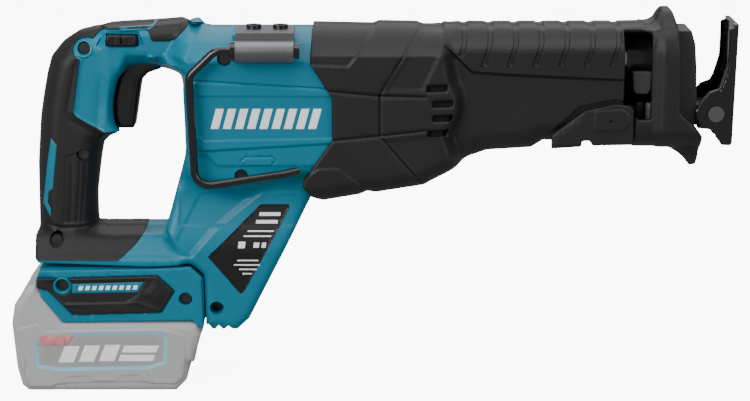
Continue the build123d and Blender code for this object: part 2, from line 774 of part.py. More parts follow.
cell_x0 = R - 93.0
cell_low = battery_low + battery_wall + cell_r + 1.1
cell_rows = (cell_low, cell_low + cell_pitch)


def cell_places():
    return [(cell_x0 + column * cell_pitch, z) for column in range(cell_columns) for z in cell_rows]


def make_battery_cells():
    group = Part()
    for x, z in cell_places():
        group += rod_y(cell_r, -cell_len / 2, cell_len / 2, x, z)
    return group


def make_cell_holders():
    half = battery_half - battery_wall - gap
    high = cell_rows[1] + cell_r + 1
    frame = block((cell_x0 - cell_r - 0.8, cell_x0 + 4 * cell_pitch + cell_r + 0.8), (-half, half),
                  (battery_low + battery_wall + gap, high))
    frame &= battery_blank(battery_wall + gap)
    frame -= block((-BIG, BIG), (8 - half, half - 8), (-BIG, BIG))
    for x, z in cell_places():
        frame -= rod_y(cell_r + 0.1, -BIG / 2, BIG / 2, x, z)
    return frame


def make_battery_labels():
    points = [
        (R - 71, foot_z - 7), (R - 16, foot_z - 6), (R - 12, foot_z - 9), (R - 12.5, foot_z - 27),
        (R - 25, foot_z - 30.5), (R - 80, foot_z - 31.5), (R - 94, foot_z - 29), (R - 94.5, foot_z - 12)]
    face = outline(points)
    right = side_prism(face, -battery_half - 0.4, -battery_half)
    return right + side_prism(face, battery_half, battery_half + 0.4)


# ---- write every piece ----
housing = make_housing()
grip_cover = make_grip_cover()
housing -= grip_cover
foot = make_foot()

pieces = {
    "housing_right": right_half(housing),
    "housing_left": left_half(housing),
    "grip_cover_right": right_half(grip_cover),
    "grip_cover_left": left_half(grip_cover),
    "housing_screws": screws(case_screws),
    "rating_plate": make_rating_plate(),
    "foot_cover_right": right_half(foot),
    "foot_cover_left": left_half(foot),
    "foot_screws": screws(foot_screws),
    "bumper_right": make_bumper(-1),
    "bumper_left": make_bumper(1),
    "front_cover": make_front_cover(),
    "nose_cap": make_nose_cap(),
    "lamp_lens": make_lamp_lens(),
    "gear_case": make_gear_case(),
    "rear_guide": make_rear_guide(),
    "front_bushing": make_front_bushing(),
    "spindle_seal": make_spindle_seal(),
    "motor_bracket": make_motor_bracket(),
    "rotor_bearings": make_rotor_bearings(),
    "crank_bearings": make_crank_bearings(),
    "stator_core": make_stator_core(),
    "stator_coils": make_stator_coils(),
    "rotor_shaft": make_rotor_shaft(),
    "rotor_core": make_rotor_core(),
    "fan": make_fan(),
    "pinion": make_pinion(),
    "crank_gear": make_crank_gear(),
    "crank_roller": make_crank_roller(),
    "spindle_rod": make_spindle_rod(),
    "blade_holder": make_blade_holder(),
    "lock_pin": make_lock_pin(),
    "clamp_sleeve": make_clamp_sleeve(),
    "shoe_bar": make_shoe_bar(),
    "shoe_plate": make_shoe_plate(),
    "shoe_pin": make_shoe_pin(),
    "shoe_lever": make_shoe_lever(),
    "hook_bracket": make_bracket(),
    "hook_wire": make_hook_wire(),
    "hook_collars": make_hook_collars(),
    "hook_screws": make_bracket_screws(),
    "trigger": make_trigger(),
    "trigger_pin": make_trigger_pin(),
    "lock_off_button": lock_button(),
    "switch_module": make_switch_module(),
    "controller": make_controller(),
    "terminal_block": make_terminal_block(),
    "contact_blades": make_contact_blades(),
    "battery_cover": make_battery_cover(),
    "battery_base": make_battery_base(),
    "battery_latch": make_battery_latch(),
    "battery_cells": make_battery_cells(),
    "cell_holders": make_cell_holders(),
    "battery_labels": make_battery_labels(),
}

os.makedirs("parts", exist_ok=True)
for name, shape in pieces.items():
    export_step(shape, f"parts/{name}.step")
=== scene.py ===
from math import cos, pi, radians, sin

import bpy
import numpy as np
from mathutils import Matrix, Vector
from mathutils.geometry import delaunay_2d_cdt


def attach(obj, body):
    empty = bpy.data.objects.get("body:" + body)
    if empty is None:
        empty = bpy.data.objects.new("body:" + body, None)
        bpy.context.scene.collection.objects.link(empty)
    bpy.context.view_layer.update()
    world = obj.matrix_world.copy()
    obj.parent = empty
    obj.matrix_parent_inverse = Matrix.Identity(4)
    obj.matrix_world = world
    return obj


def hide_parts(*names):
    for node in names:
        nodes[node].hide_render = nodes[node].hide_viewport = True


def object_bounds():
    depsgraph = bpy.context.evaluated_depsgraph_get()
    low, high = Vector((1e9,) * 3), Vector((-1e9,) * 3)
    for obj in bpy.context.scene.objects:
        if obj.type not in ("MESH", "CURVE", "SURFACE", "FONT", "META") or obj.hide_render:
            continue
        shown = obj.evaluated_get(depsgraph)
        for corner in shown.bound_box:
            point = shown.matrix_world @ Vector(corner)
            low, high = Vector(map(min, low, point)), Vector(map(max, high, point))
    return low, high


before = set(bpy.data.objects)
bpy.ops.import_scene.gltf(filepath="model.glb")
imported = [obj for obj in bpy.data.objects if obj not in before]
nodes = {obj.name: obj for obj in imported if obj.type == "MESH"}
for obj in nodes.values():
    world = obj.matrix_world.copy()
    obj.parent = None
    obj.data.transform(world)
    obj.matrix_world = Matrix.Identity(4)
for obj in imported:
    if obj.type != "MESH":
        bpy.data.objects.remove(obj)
cad_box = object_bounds()
MM = 0.001

# The table and the lamps: a wide table covered in white paper, a broad soft lamp
# overhead, a wide one in front on the left, and weak ones on the right and behind.
paper_look = {"Base Color": (0.93, 0.93, 0.93, 1), "Roughness": 0.9,
              "Emission Color": (1, 1, 1, 1), "Emission Strength": 9.0}
table_drop = 0.0002
table_z = cad_box[0][2] - table_drop
table_half = 9.0

paper = bpy.data.materials.new("white_paper")
paper.use_nodes = True
for socket, value in paper_look.items():
    paper.node_tree.nodes["Principled BSDF"].inputs[socket].default_value = value
corners = [(x * table_half, y * table_half, table_z) for x, y in ((-1, -1), (1, -1), (1, 1), (-1, 1))]
sheet = bpy.data.meshes.new("paper_table")
sheet.from_pydata(corners, [], [(0, 1, 2, 3)])
sheet.materials.append(paper)
table = bpy.data.objects.new("paper_table", sheet)
table.visible_diffuse = False
table.visible_glossy = False
bpy.context.scene.collection.objects.link(table)

view_centre = Vector((-0.1792, 0.0, -0.091))
view_distance, view_rise = 1.4, radians(13)
lens_mm, film_mm = 106.85, 36.0

camera = bpy.data.objects.new("camera", bpy.data.cameras.new("camera"))
camera.data.lens, camera.data.sensor_width = lens_mm, film_mm
camera.data.clip_start = 0.01
camera.location = view_centre + view_distance * Vector((0, -cos(view_rise), sin(view_rise)))
camera.rotation_euler = (pi / 2 - view_rise, 0, 0)
bpy.context.scene.collection.objects.link(camera)
bpy.context.scene.camera = camera

lamp_plan = [
    ("lamp_overhead", (-0.15, -0.25, 1.1), (1.5, 1.1), 12),
    ("lamp_front_left", (-1.0, -1.1, 0.5), (0.9, 0.9), 15),
    ("lamp_front_right", (0.9, -1.0, 0.35), (0.7, 0.9), 4),
    ("lamp_behind", (-0.1, 1.0, 0.75), (1.4, 0.6), 4),
]
for name, place, size, power in lamp_plan:
    light = bpy.data.lights.new(name, "AREA")
    light.shape = "RECTANGLE"
    light.size, light.size_y = size
    light.energy = power
    lamp = bpy.data.objects.new(name, light)
    lamp.location = place
    lamp.visible_camera = False
    lamp.rotation_euler = (view_centre - Vector(place)).to_track_quat("-Z", "Y").to_euler()
    bpy.context.scene.collection.objects.link(lamp)

room = bpy.data.worlds.new("room")
bpy.context.scene.world = room
room.use_nodes = True
room.node_tree.nodes["Background"].inputs["Color"].default_value = (1, 1, 1, 1)
room.node_tree.nodes["Background"].inputs["Strength"].default_value = 0.35


# Teal shell: two glass-filled nylon halves that make the handle, the arch over the
# trigger, the motor case and the leg. They are moulded with a fine spark texture and
# screwed together on the middle plane.
class Wire:
    """One value in a finish: it adds, multiplies and feeds other nodes."""

    def __init__(self, tree, socket=None):
        self.tree, self.socket = tree, socket

    def node(self, kind, settings=(), sockets=(), out=0):
        """A node of any kind; its settings go in before its sockets are fed."""
        made = self.tree.nodes.new("ShaderNode" + kind)
        for name, value in dict(settings).items():
            setattr(made, name, value)
        for name, value in dict(sockets).items():
            if isinstance(value, Wire):
                self.tree.links.new(value.socket, made.inputs[name])
            else:
                made.inputs[name].default_value = value
        return Wire(self.tree, made.outputs[out])

    def math(self, operation, first, second):
        """Two values put together by one Math node."""
        return self.node("Math", {"operation": operation}, {0: first, 1: second})

    def __add__(self, other):
        return self.math("ADD", self, other)

    def __mul__(self, other):
        return self.math("MULTIPLY", self, other)

    def __sub__(self, other):
        return self.math("SUBTRACT", self, other)

    def __rsub__(self, other):
        return self.math("SUBTRACT", other, self)

    __radd__, __rmul__ = __add__, __mul__


def moulded(name, colour, rough, grain_mm=0.45, grain_depth=0.012, shift=0.05, coat=0.0, metal=0.0):
    """A plastic or metal skin: fine grain, faint cloudy colour, and sharp edges painted lighter as a
    painted highlight.
    """
    skin = bpy.data.materials.new(name)
    skin.use_nodes = True
    shader = skin.node_tree.nodes["Principled BSDF"]
    wire = Wire(skin.node_tree)
    place = wire.node("TexCoord", out="Object")
    clouds = wire.node("TexNoise", sockets={"Vector": place, "Scale": 22.0, "Detail": 3.0})
    grain = wire.node("TexNoise", sockets={"Vector": place, "Scale": 1000 / grain_mm, "Detail": 2.0})
    # Sharp outer edges are made up to 22% lighter: a painted highlight along the edges.
    edges = wire.node("NewGeometry", out="Pointiness")
    edge_highlight = wire.node("MapRange", sockets={"Value": edges, "From Min": 0.52, "From Max": 0.62})
    tone = 1 + (clouds - 0.5) * shift * 2 + edge_highlight * 0.22
    grey = wire.node("CombineColor", sockets={0: tone, 1: tone, 2: tone})
    tint = wire.node("Mix", {"data_type": "RGBA", "blend_type": "MULTIPLY"},
                     {0: 1.0, 6: (*colour, 1), 7: grey}, out=2)
    skin.node_tree.links.new(tint.socket, shader.inputs["Base Color"])
    gloss = rough + (clouds - 0.5) * 0.12 + (grain - 0.5) * 0.08
    skin.node_tree.links.new(gloss.socket, shader.inputs["Roughness"])
    bump = wire.node("Bump", sockets={"Height": grain, "Distance": grain_depth * MM * 4, "Strength": 0.5})
    skin.node_tree.links.new(bump.socket, shader.inputs["Normal"])
    shader.inputs["Metallic"].default_value = metal
    shader.inputs["Specular IOR Level"].default_value = 0.35
    shader.inputs["Coat Weight"].default_value = coat
    shader.inputs["Coat Roughness"].default_value = 0.12
    return skin


def wear(skin, *names):
    """Gives the CAD nodes of these names that skin."""
    for name in names:
        for place in nodes[name].material_slots:
            place.material = skin


def ease(t):
    """A smooth step from 0 to 1."""
    t = np.clip(t, 0, 1)
    return t * t * (3 - 2 * t)


def rounded(points, radius):
    """A closed outline with its corners rounded off, as the mould cutter leaves them."""
    corners = [np.array(p, float) for p in points]
    run = []
    for index, at in enumerate(corners):
        back = corners[index - 1] - at
        ahead = corners[(index + 1) % len(corners)] - at
        reach = min(radius, 0.45 * np.hypot(*back), 0.45 * np.hypot(*ahead))
        start = at + back / np.hypot(*back) * reach
        end = at + ahead / np.hypot(*ahead) * reach
        for t in (0, 0.25, 0.5, 0.75, 1):
            run.append((1 - t) ** 2 * start + 2 * t * (1 - t) * at + t * t * end)
    return np.array(run)


def disc(x, z, radius, count=28):
    """A round outline, as short straight sides."""
    turn = np.arange(count) * 2 * pi / count
    return np.stack([x + radius * np.cos(turn), z + radius * np.sin(turn)], 1)


def spaced(line, step, closed=True):
    """Points along a line, no further apart than step, its own corners kept."""
    line = np.asarray(line, float)
    ends = np.roll(line, -1, 0) if closed else line[1:]
    run = []
    for a, b in zip(line, ends):
        count = max(1, int(np.ceil(np.hypot(*(b - a)) / step)))
        run.append(a + (b - a) * (np.arange(count) / count)[:, None])
    if not closed:
        run.append(line[-1:])
    return np.concatenate(run)


def inside(x, z, line, closed=True):
    """Distance in from a closed outline, negative outside it; or plain distance from a line."""
    line = np.asarray(line, float)
    ends = np.roll(line, -1, 0) if closed else line[1:]
    nearest = np.full(np.shape(x), 1e9)
    within = np.zeros(np.shape(x), bool)
    for (ax, az), (bx, bz) in zip(line, ends):
        ex, ez = bx - ax, bz - az
        t = np.clip(((x - ax) * ex + (z - az) * ez) / max(ex * ex + ez * ez, 1e-12), 0, 1)
        nearest = np.minimum(nearest, np.hypot(x - ax - t * ex, z - az - t * ez))
        if closed and az != bz:
            within ^= ((az > z) != (bz > z)) & (x < ex * (z - az) / ez + ax)
    return np.where(within, nearest, -nearest) if closed else nearest


def sideways(line, closed=False):
    """Unit steps to the left of a line, one for each of its points."""
    along = np.roll(line, -1, 0) - line if closed else np.gradient(line, axis=0)
    return np.stack([-along[:, 1], along[:, 0]], 1) / np.maximum(np.hypot(*along.T), 1e-9)[:, None]


def worth(value, x, z):
    """A size at a point of the side view, where it may be given as a function of the point."""
    return value(x, z) if callable(value) else value


sharp_angle = radians(48)


class Moulding:
    """One flank of a moulded piece, kept as its half width at every point of the side view.

    The flank rises by drop over the distance run, from its soft outlines in to half, or it lies
    half above the surface over. The lip is the small rounding at its very edge.
    """

    def __init__(self, outline, half=0.0, run=1.0, drop=1.0, openings=(), over=None, soft=None,
                 lip=(0.8, 0.5)):
        self.outline, self.openings = np.asarray(outline, float), [np.asarray(o, float) for o in openings]
        self.half, self.run, self.drop, self.over = half, run, drop, over
        self.soft = [self.outline] + self.openings if soft is None else [np.asarray(o, float) for o in soft]
        self.lip, self.shared = lip, None
        self.zones, self.layers, self.creases = [], [], []

    def zone(self, outline, lead, half, run, drop):
        """A part of the flank with its own half width and edge rounding."""
        self.zones.append((outline, lead, half, run, drop))
        self.creases.append((outline, True, (0, lead * 0.5, lead)))

    def panel(self, outline, rise, lead=1.0, near=0.35):
        """A raised panel with sloping sides, or a sunk one if rise is negative."""
        def lift(x, z, y):
            return y + rise * np.clip(inside(x, z, outline) / lead, 0, 1)
        self.layers.append(lift)
        self.creases.append((outline, True, (-near, 0, lead, lead + near)))

    def chamfer(self, start, slope, blend=0.5):
        """A long slope that narrows the piece upwards from a height, blended in over a few mm."""
        def cut(x, z, y):
            up = np.clip(z - start, 0, None)
            return y - worth(slope, x, z) * np.where(up < blend, up * up / (2 * blend), up - blend / 2)
        self.layers.append(cut)
        left, right = self.outline[:, 0].min(), self.outline[:, 0].max()
        self.creases.append(([(left, start), (right, start)], False, (-0.4, 0, blend)))

    def groove(self, line, width, deep, closed=False):
        """A rounded groove along a line, or a bead if deep is negative."""
        def cut(x, z, y):
            gap = np.abs(inside(x, z, line, closed)) / (width / 2)
            return y - deep * (1 - np.clip(gap, 0, 1) ** 2) ** 2
        self.layers.append(cut)
        self.creases.append((line, closed, (-width / 2, -width / 4, 0, width / 4, width / 2)))

    def bore(self, x0, z0, radius, deep, lead=0.35):
        """A round blind hole."""
        def cut(x, z, y):
            return y - deep * np.clip((radius - np.hypot(x - x0, z - z0)) / lead, 0, 1)
        self.layers.append(cut)
        self.creases.append((disc(x0, z0, radius), True, (-0.25, 0, lead, lead + 0.3)))

    def ring(self, x0, z0, inner, outer, rise):
        """A raised round collar."""
        def lift(x, z, y):
            r = np.hypot(x - x0, z - z0)
            return y + rise * np.clip((outer - r) / 0.4, 0, 1) * np.clip((r - inner) / 0.3, 0, 1)
        self.layers.append(lift)
        self.creases.append((disc(x0, z0, outer), True, (-0.25, 0, 0.4, 0.7)))

    def edge_gap(self, x, z, loops=None):
        """Distance in from the outline and clear of the openings, or the same for other loops."""
        outer, *holes = loops or [self.outline] + self.openings
        gap = inside(x, z, outer)
        for hole in holes:
            gap = np.minimum(gap, -inside(x, z, hole))
        return gap

    def height(self, x, z, grow=0.0):
        """Half width of the piece at points of the side view, all in millimetres."""
        half, run, drop = self.half, self.run, self.drop
        if self.over is not None:
            half = self.over(x, z) + half
        for outline, lead, zone_half, zone_run, zone_drop in self.zones:
            share = ease(inside(x, z, outline) / lead)
            half = half + (worth(zone_half, x, z) - half) * share
            run = run + (zone_run - run) * share
            drop = drop + (zone_drop - drop) * share
        gap = np.clip((self.edge_gap(x, z, self.soft) + grow) / run, 0, 1)
        y = half - drop * (1 - (1 - (1 - gap) ** 2) ** 0.7)
        for layer in self.layers[:self.shared] if grow else self.layers:
            y = layer(x, z, y)
        if self.over is None and not grow:
            gap = np.clip(self.edge_gap(x, z) / self.lip[0], 0, 1)
            y = y - self.lip[1] * (1 - np.sqrt(1 - (1 - gap) ** 2))
        return y

    def places(self, step, fine):
        """Where the mesh has its points: outline first, then creases, edge rings and a grid."""
        border = [spaced(self.outline, fine)] + [spaced(o, fine) for o in self.openings]
        low = self.outline.min(0) - 1
        cell, edge_margin, row_rise = 0.3, 0.22, 0.866
        size = np.ceil((self.outline.max(0) + 1 - low) / cell).astype(int) + 8
        taken = np.zeros(size, bool)

        def keep(points, clearance):
            """The points that are clear of the edge and of every point kept before them."""
            points = points[self.edge_gap(points[:, 0], points[:, 1]) > edge_margin]
            spots = ((points - low) / cell).astype(int)
            held = taken.copy()
            reach = int(round(clearance / cell))
            for _ in range(reach):
                grown = held.copy()
                grown[1:] |= held[:-1]
                grown[:-1] |= held[1:]
                grown[:, 1:] |= held[:, :-1]
                grown[:, :-1] |= held[:, 1:]
                held = grown
            _, first = np.unique(spots[:, 0] * size[1] + spots[:, 1], return_index=True)
            first = np.sort(first)
            first = first[~held[spots[first, 0], spots[first, 1]]]
            taken[spots[first, 0], spots[first, 1]] = True
            return points[first]

        inner = []
        for line, closed, offsets in self.creases:
            run = spaced(line, fine, closed)
            across = sideways(run, closed)
            area = np.sum(run[:, 0] * np.roll(run[:, 1], -1) - np.roll(run[:, 0], -1) * run[:, 1])
            turn = 1 if area > 0 or not closed else -1
            for offset in offsets:
                inner.append(keep(run + across * offset * turn, 0))
        for loop in border:
            across = sideways(loop, True)
            for share in (0.03, 0.09, 0.2, 0.35, 0.55, 0.8, 1.0):
                reach = share * self.widest_run()
                for sign in (1, -1):
                    moved = loop + across * reach * sign
                    inner.append(keep(moved[self.edge_gap(*moved.T) > 0.93 * reach], 0))
        across_count = int((self.outline[:, 0].max() - low[0]) / step) + 2
        up_count = int((self.outline[:, 1].max() - low[1]) / (step * row_rise)) + 2
        i, j = np.meshgrid(np.arange(across_count), np.arange(up_count))
        grid = np.stack([low[0] + (i + 0.5 * (j % 2)) * step, low[1] + j * step * row_rise], -1)
        inner.append(keep(grid.reshape(-1, 2), step * 0.5))
        return border, np.concatenate(inner)

    def widest_run(self):
        """The widest edge rounding of the flank and its zones."""
        return max([self.run] + [zone_run for _, _, _, zone_run, _ in self.zones])

    def flank(self, name, side, floor=0.0, wall=1.4, step=2.0, fine=0.9, bevel=0.25):
        """The finished half: its face, its rim down to the floor, and its wall thickness."""
        border, inner = self.places(step, fine)
        links, start = [], 0
        for loop in border:
            links += [(start + i, start + (i + 1) % len(loop)) for i in range(len(loop))]
            start += len(loop)
        flat = np.concatenate(border + [inner])
        found = delaunay_2d_cdt([Vector(p) for p in flat.tolist()], links, [], 0, 1e-5, False)
        spots = np.array([tuple(p) for p in found[0]])
        faces = np.array(found[2])
        middle = spots[faces].mean(1)
        faces = faces[self.edge_gap(*middle.T) > 0]
        a, b, c = (spots[faces[:, k]] for k in range(3))
        flip = (b[:, 0] - a[:, 0]) * (c[:, 1] - a[:, 1]) < (b[:, 1] - a[:, 1]) * (c[:, 0] - a[:, 0])
        faces[flip] = faces[flip][:, ::-1]
        high = self.height(*spots.T)
        pairs = np.concatenate([faces[:, [0, 1]], faces[:, [1, 2]], faces[:, [2, 0]]])
        key = set(map(tuple, pairs.tolist()))
        rim = [(p, q) for p, q in pairs.tolist() if (q, p) not in key]
        push = np.zeros_like(spots)
        for p, q in rim:
            out = spots[q] - spots[p]
            out = np.array([out[1], -out[0]]) / max(np.hypot(*out), 1e-9)
            push[p] += out
            push[q] += out
        push /= np.maximum(np.hypot(*push.T), 1e-9)[:, None]
        points = [(x, side * y, z) for (x, z), y in zip(spots, high)]
        quads = []
        order = sorted({p for p, _ in rim})
        base = worth(floor, *spots[order].T) + np.zeros(len(order))
        rows = [{p: p for p in order}]
        for share_in, lift in ((0.0, bevel), (bevel, 0.0)):
            row = {}
            for p, down in zip(order, base):
                down = min(down, high[p] - 0.1)
                x, z = spots[p] - push[p] * share_in
                row[p] = len(points)
                points.append((x, side * min(down + lift, high[p] - 0.05), z))
            rows.append(row)
        for upper, lower in zip(rows, rows[1:]):
            quads += [(upper[q], upper[p], lower[p], lower[q]) for p, q in rim]
        shapes = faces.tolist() + quads
        if side > 0:
            shapes = [f[::-1] for f in shapes]
        mesh = bpy.data.meshes.new(name)
        mesh.from_pydata([tuple(c * MM for c in p) for p in points], [], shapes)
        mesh.polygons.foreach_set("use_smooth", [True] * len(mesh.polygons))
        mesh.set_sharp_from_angle(angle=sharp_angle)
        made = bpy.data.objects.new(name, mesh)
        bpy.context.scene.collection.objects.link(made)
        if wall:
            thick = made.modifiers.new("wall", "SOLIDIFY")
            thick.thickness, thick.offset = wall * MM, -1
        return made


def fit(piece, skin, body, slot, *replaced):
    """Paints a piece, sets it on its body and lets it stand for its CAD nodes."""
    piece.data.materials.append(skin)
    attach(piece, body)
    if replaced:
        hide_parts(*replaced)


def moved_line(line, amount):
    """An open line moved sideways, to its left if amount is positive."""
    line = np.asarray(line, float)
    return line + sideways(line) * amount


teal_plastic = moulded("teal_plastic", (0.0, 0.175, 0.27), 0.38, shift=0.04)
grip_skin = 0.8
handle_back = [
    (-387.2, -125.5), (-388.4, -119), (-389.9, -108.8), (-389.4, -64.6), (-387.1, -36.3),
    (-385.1, -24.1), (-382.2, -9.1), (-378.9, 2.1), (-371.6, 10.9), (-361.5, 17.5),
    (-351.7, 20.0), (-336.1, 21.3), (-313.2, 22.6), (-294.6, 24)]
hand_side = [
    (-324.6, -106.8), (-348, -107.0), (-353.0, -103.8), (-353, -83.9), (-350.3, -63.5),
    (-348.2, -52.5), (-343.1, -47.8), (-338.6, -45.8)]
trigger_side = [(-336.8, -44.3), (-339.5, -41), (-340.8, -36), (-341, -26), (-338, -12.5), (-333.5, -6.5)]
arch_side = [(-323.5, -4.5), (-311.7, -5.5), (-303.6, -7.7), (-296.8, -12.1), (-296.2, -16), (-295, -51.4),
             (-295.9, -57), (-307.8, -100)]
front_of_case = [(-214, 20), (-214, 2), (-201.5, -18.5), (-201.3, -44.5), (-218.5, -69), (-213, -74)]
leg_front = [(-217, -79.5), (-257.2, -158.4), (-264.6, -165.3)]
foot_notches = [
    (-268, -165.3), (-270.2, -162.4), (-272.4, -165.3), (-274.2, -165.3), (-276.3, -162.4),
    (-278.2, -165.3), (-280.3, -165.3), (-282.6, -162.4), (-284.2, -162.4)]
foot_seam = [(-285.0, -130.4), (-292.6, -123.5), (-316, -124.5)]

shell_outline = np.concatenate([
    rounded(np.concatenate([
        moved_line(handle_back, -grip_skin), [(-287.8, 24), (-281.7, 20.1)], front_of_case]), 3.0)[5:-5],
    np.array(leg_front + foot_notches + foot_seam)])
hand_opening = rounded(np.concatenate([
    moved_line(hand_side, grip_skin), trigger_side, arch_side, [(-309.5, -106.8)]]), 5.0)
lock_window = rounded([(-343.9, 9.7), (-343.9, 17.2), (-324.1, 17.2), (-324.1, 9.7)], 1.0)

behind_cover = [(-150, 20), (-150, -74)]
shell_soft = rounded(np.concatenate([
    moved_line(handle_back, -grip_skin), [(-287.8, 24), (-281.7, 20.1)], behind_cover, leg_front,
    foot_notches[-1:], foot_seam]), 3.0)
shell = Moulding(shell_outline, 18.0, 13.0, 15.5, [hand_opening, lock_window],
                 soft=[shell_soft, hand_opening])


def leg_half(x, z):
    """The leg grows wider downwards, towards the foot."""
    return 30 + 6.8 * ease((-80 - z) / 36)


def deck_half(x, z):
    """The deck grows from the width of the handle to that of the foot."""
    return 20.5 + 16.3 * np.clip((-106.5 - z) / 13.5, 0, 1)


shell.zone([(-348, 40), (-348, -8), (-352, -49), (-330, -49), (-330, 2), (-280, -2), (-280, 40)],
           6.0, 19.0, 6.0, 6.5)
shell.zone([(-400, -105.8), (-400, -190), (-282, -190), (-282, -128), (-296, -112), (-299, -105.8)], 2.4,
           deck_half, 1.0, 0.8)
shell.zone([(-309, 6), (-312, -2), (-300, -9), (-305, -14), (-305, -56), (-317, -98), (-314, -107),
            (-303, -123), (-303, -190), (-200, -190), (-200, 6)], 9.0, leg_half, 5.0, 4.5)
shell.zone([(-303, 14), (-308, 5), (-300, -9), (-311, -14), (-310, -62), (-290, -79), (-262, -85),
            (-240, -77), (-226, -75), (-205, -88), (-185, -88), (-185, 45), (-286, 45)], 13.0, 38.3, 9.0,
            9.0)

shell.chamfer(2.5, lambda x, z: 0.75 * ease((x + 300) / 12), 1.0)
shell.chamfer(12.5, lambda x, z: 1.7 * ease((x + 300) / 12), 0.8)
window_frame = rounded([(-349.8, 10.7), (-347.4, 15.7), (-342.9, 19.0), (-323.2, 19.0), (-319.8, 10.7),
                        (-321.7, 8.9), (-349.4, 8.9)], 1.0)
shell.panel(window_frame, -2.0, 1.2)
decal_panel = [(-300, -16.8), (-190, -17.2), (-190, -43.6), (-283.5, -45.6), (-285.5, -43.2), (-300, -43.2)]
case_band = [(-300, -8.2), (-190, -14.2), (-190, -45.8), (-281, -51.3), (-285.6, -51), (-300, -51)]
shell.panel(case_band, 0.9, 0.9)
shell.panel(decal_panel, -1.0, 1.0)
shell.groove([(-288, -8.0), (-190, -13.9)], 1.2, 0.7)
shell.groove([(-288, -51.6), (-281, -52.0), (-190, -46.6)], 1.2, 0.6)
shell.panel([(-300, -53), (-281.5, -53), (-275, -60.0), (-190, -60.0), (-190, -100), (-300, -100)], -1.2,
            1.6)
shell.panel([(-248.7, -78.1), (-224.7, -77.5), (-200, -86), (-200, -190), (-400, -190), (-400, -117.8),
             (-292.5, -117.8), (-278.3, -101.6)], 0.9, 1.6)
shell.panel([(-254.4, -74.5), (-288, -79.5), (-303, -109), (-293, -117.6), (-279, -101.8), (-249.5, -78)],
            -0.7, 2.0)
plate_outline = rounded([
    (-249.5, -86.3), (-232.4, -86.3), (-231.4, -87.9), (-260.6, -141.0), (-262.4, -141.7),
    (-282.2, -118)], 0.8)
shell.panel(plate_outline, -0.5, 0.3)
emblem = rounded([(-261, -57.8), (-257.6, -55.1), (-241.4, -55.1), (-239.7, -57.8), (-242.7, -61.0),
                  (-258.5, -61.0)], 0.6)
shell.groove(emblem, 0.8, 0.35, True)
shell.ring(-357.3, 8.2, 3.9, 5.6, 0.9)
shell.panel(disc(-316.0, 1.0, 4.0), 1.5, 1.8)
for x, z, radius in ((-357.3, 8.2, 3.9), (-270.2, 4.9, 4.2), (-260.9, -66.9, 4.0)):
    shell.bore(x, z, radius, 7.5)
shell.bore(-277.1, -150.7, 4.2, 12.0)


def trigger_gap(x, z):
    """The rims stop short of the middle where the trigger and the button pass through."""
    by_trigger = (x > -342.5) & (x < -329) & (z > -45.5) & (z < -3)
    by_button = (x > -345) & (x < -323) & (z > 9) & (z < 18)
    return np.where(by_trigger, 9.6, np.where(by_button, 12.0, 0.0))


window_border = [
    (-349.6, 17.4), (-351.4, 14.4), (-355.8, 14.9), (-361.0, 13.9), (-364.2, 10.2), (-364.2, 5.6),
    (-361.5, 2.6), (-359.6, 1.7), (-364.6, -31.1), (-363.1, -33.6), (-347.7, -42.7), (-341.8, -44.5)]
shell.groove(window_border[6:], 2.8, -0.9)
shell.shared = len(shell.layers)


# Grip skin: thermoplastic rubber moulded over the back of the handle, the crown of the
# arch and the rear of the deck, with a teal strip let into the back of the handle.
grip_rubber = moulded("grip_rubber", (0.0125, 0.0115, 0.0125), 0.52, grain_mm=0.7, shift=0.12)
crown_border = [
    (-293.8, 24.2), (-294, 21.4), (-301.5, 14), (-305.2, 13), (-315.5, 13), (-317.2, 19), (-319, 20.3),
    (-345.9, 20.0)]
deck_border = [(-322.8, -106.8), (-326.8, -112), (-336, -119.6), (-338.2, -120.4)]
grip_outline = rounded(np.concatenate([
    [(-388.4, -120.3)], handle_back[2:-1], crown_border, window_border, [(-338.6, -45.8)],
    hand_side[-2::-1], deck_border]), 1.6)
grip_holes = ((-359.7, -57.9, 3.7), (-376.4, -109.9, 4.1))
shell.panel(grip_outline, -1.6, 1.2)
for x, z, radius in grip_holes:
    shell.bore(x, z, radius + 0.5, 5.0)
sides = ((-1, "right"), (1, "left"))
for side, name in sides:
    half = shell.flank(f"shell_{name}", side, trigger_gap)
    fit(half, teal_plastic, "frame", "housing_teal", f"housing_{name}")

grip = Moulding(grip_outline, grip_skin, 0.9, 0.7, over=lambda x, z: shell.height(x, z, grip_skin))
grip.groove([(-362.5, -1.1), (-368.7, -31.3), (-366.8, -36.2), (-352.0, -44.8), (-353.5, -50.5)], 2.4, 0.55)
grip.panel([(-352.2, -53.5), (-371.2, -58.1), (-373.4, -101.5), (-352, -101.5)], -0.55, 0.9)
for top_x, top_z, low_x in ((-366.8, -63, -368.9), (-361.4, -62, -364.4), (-358.4, -64, -361.9)):
    grip.groove([(top_x, top_z), (low_x, -100.5)], 1.4, 0.45)
grip.groove([(-352, -103.2), (-374, -104.2), (-386, -101)], 2.4, 0.5)
for x, z, radius in grip_holes:
    grip.bore(x, z, radius, 6.5)
for side, name in sides:
    half = grip.flank(f"grip_skin_{name}", side, wall=0.6)
    fit(half, grip_rubber, "frame", "soft_grip", f"grip_cover_{name}")

strip_outline = rounded([
    (-379.1, -47.3), (-375.5, -51.7), (-378.9, -78.9), (-381.8, -81.5), (-382.6, -88.5), (-380.6, -92.3),
    (-380.9, -97.4), (-385.8, -89.1), (-381.7, -61.8)], 0.6)
strip = Moulding(strip_outline, 0.22, 0.4, 0.2, over=grip.height)
for side, name in sides:
    inlay = strip.flank(f"handle_strip_{name}", side, lambda x, z: grip.height(x, z) - 0.6, 0.3)
    fit(inlay, teal_plastic, "frame", "housing_teal")

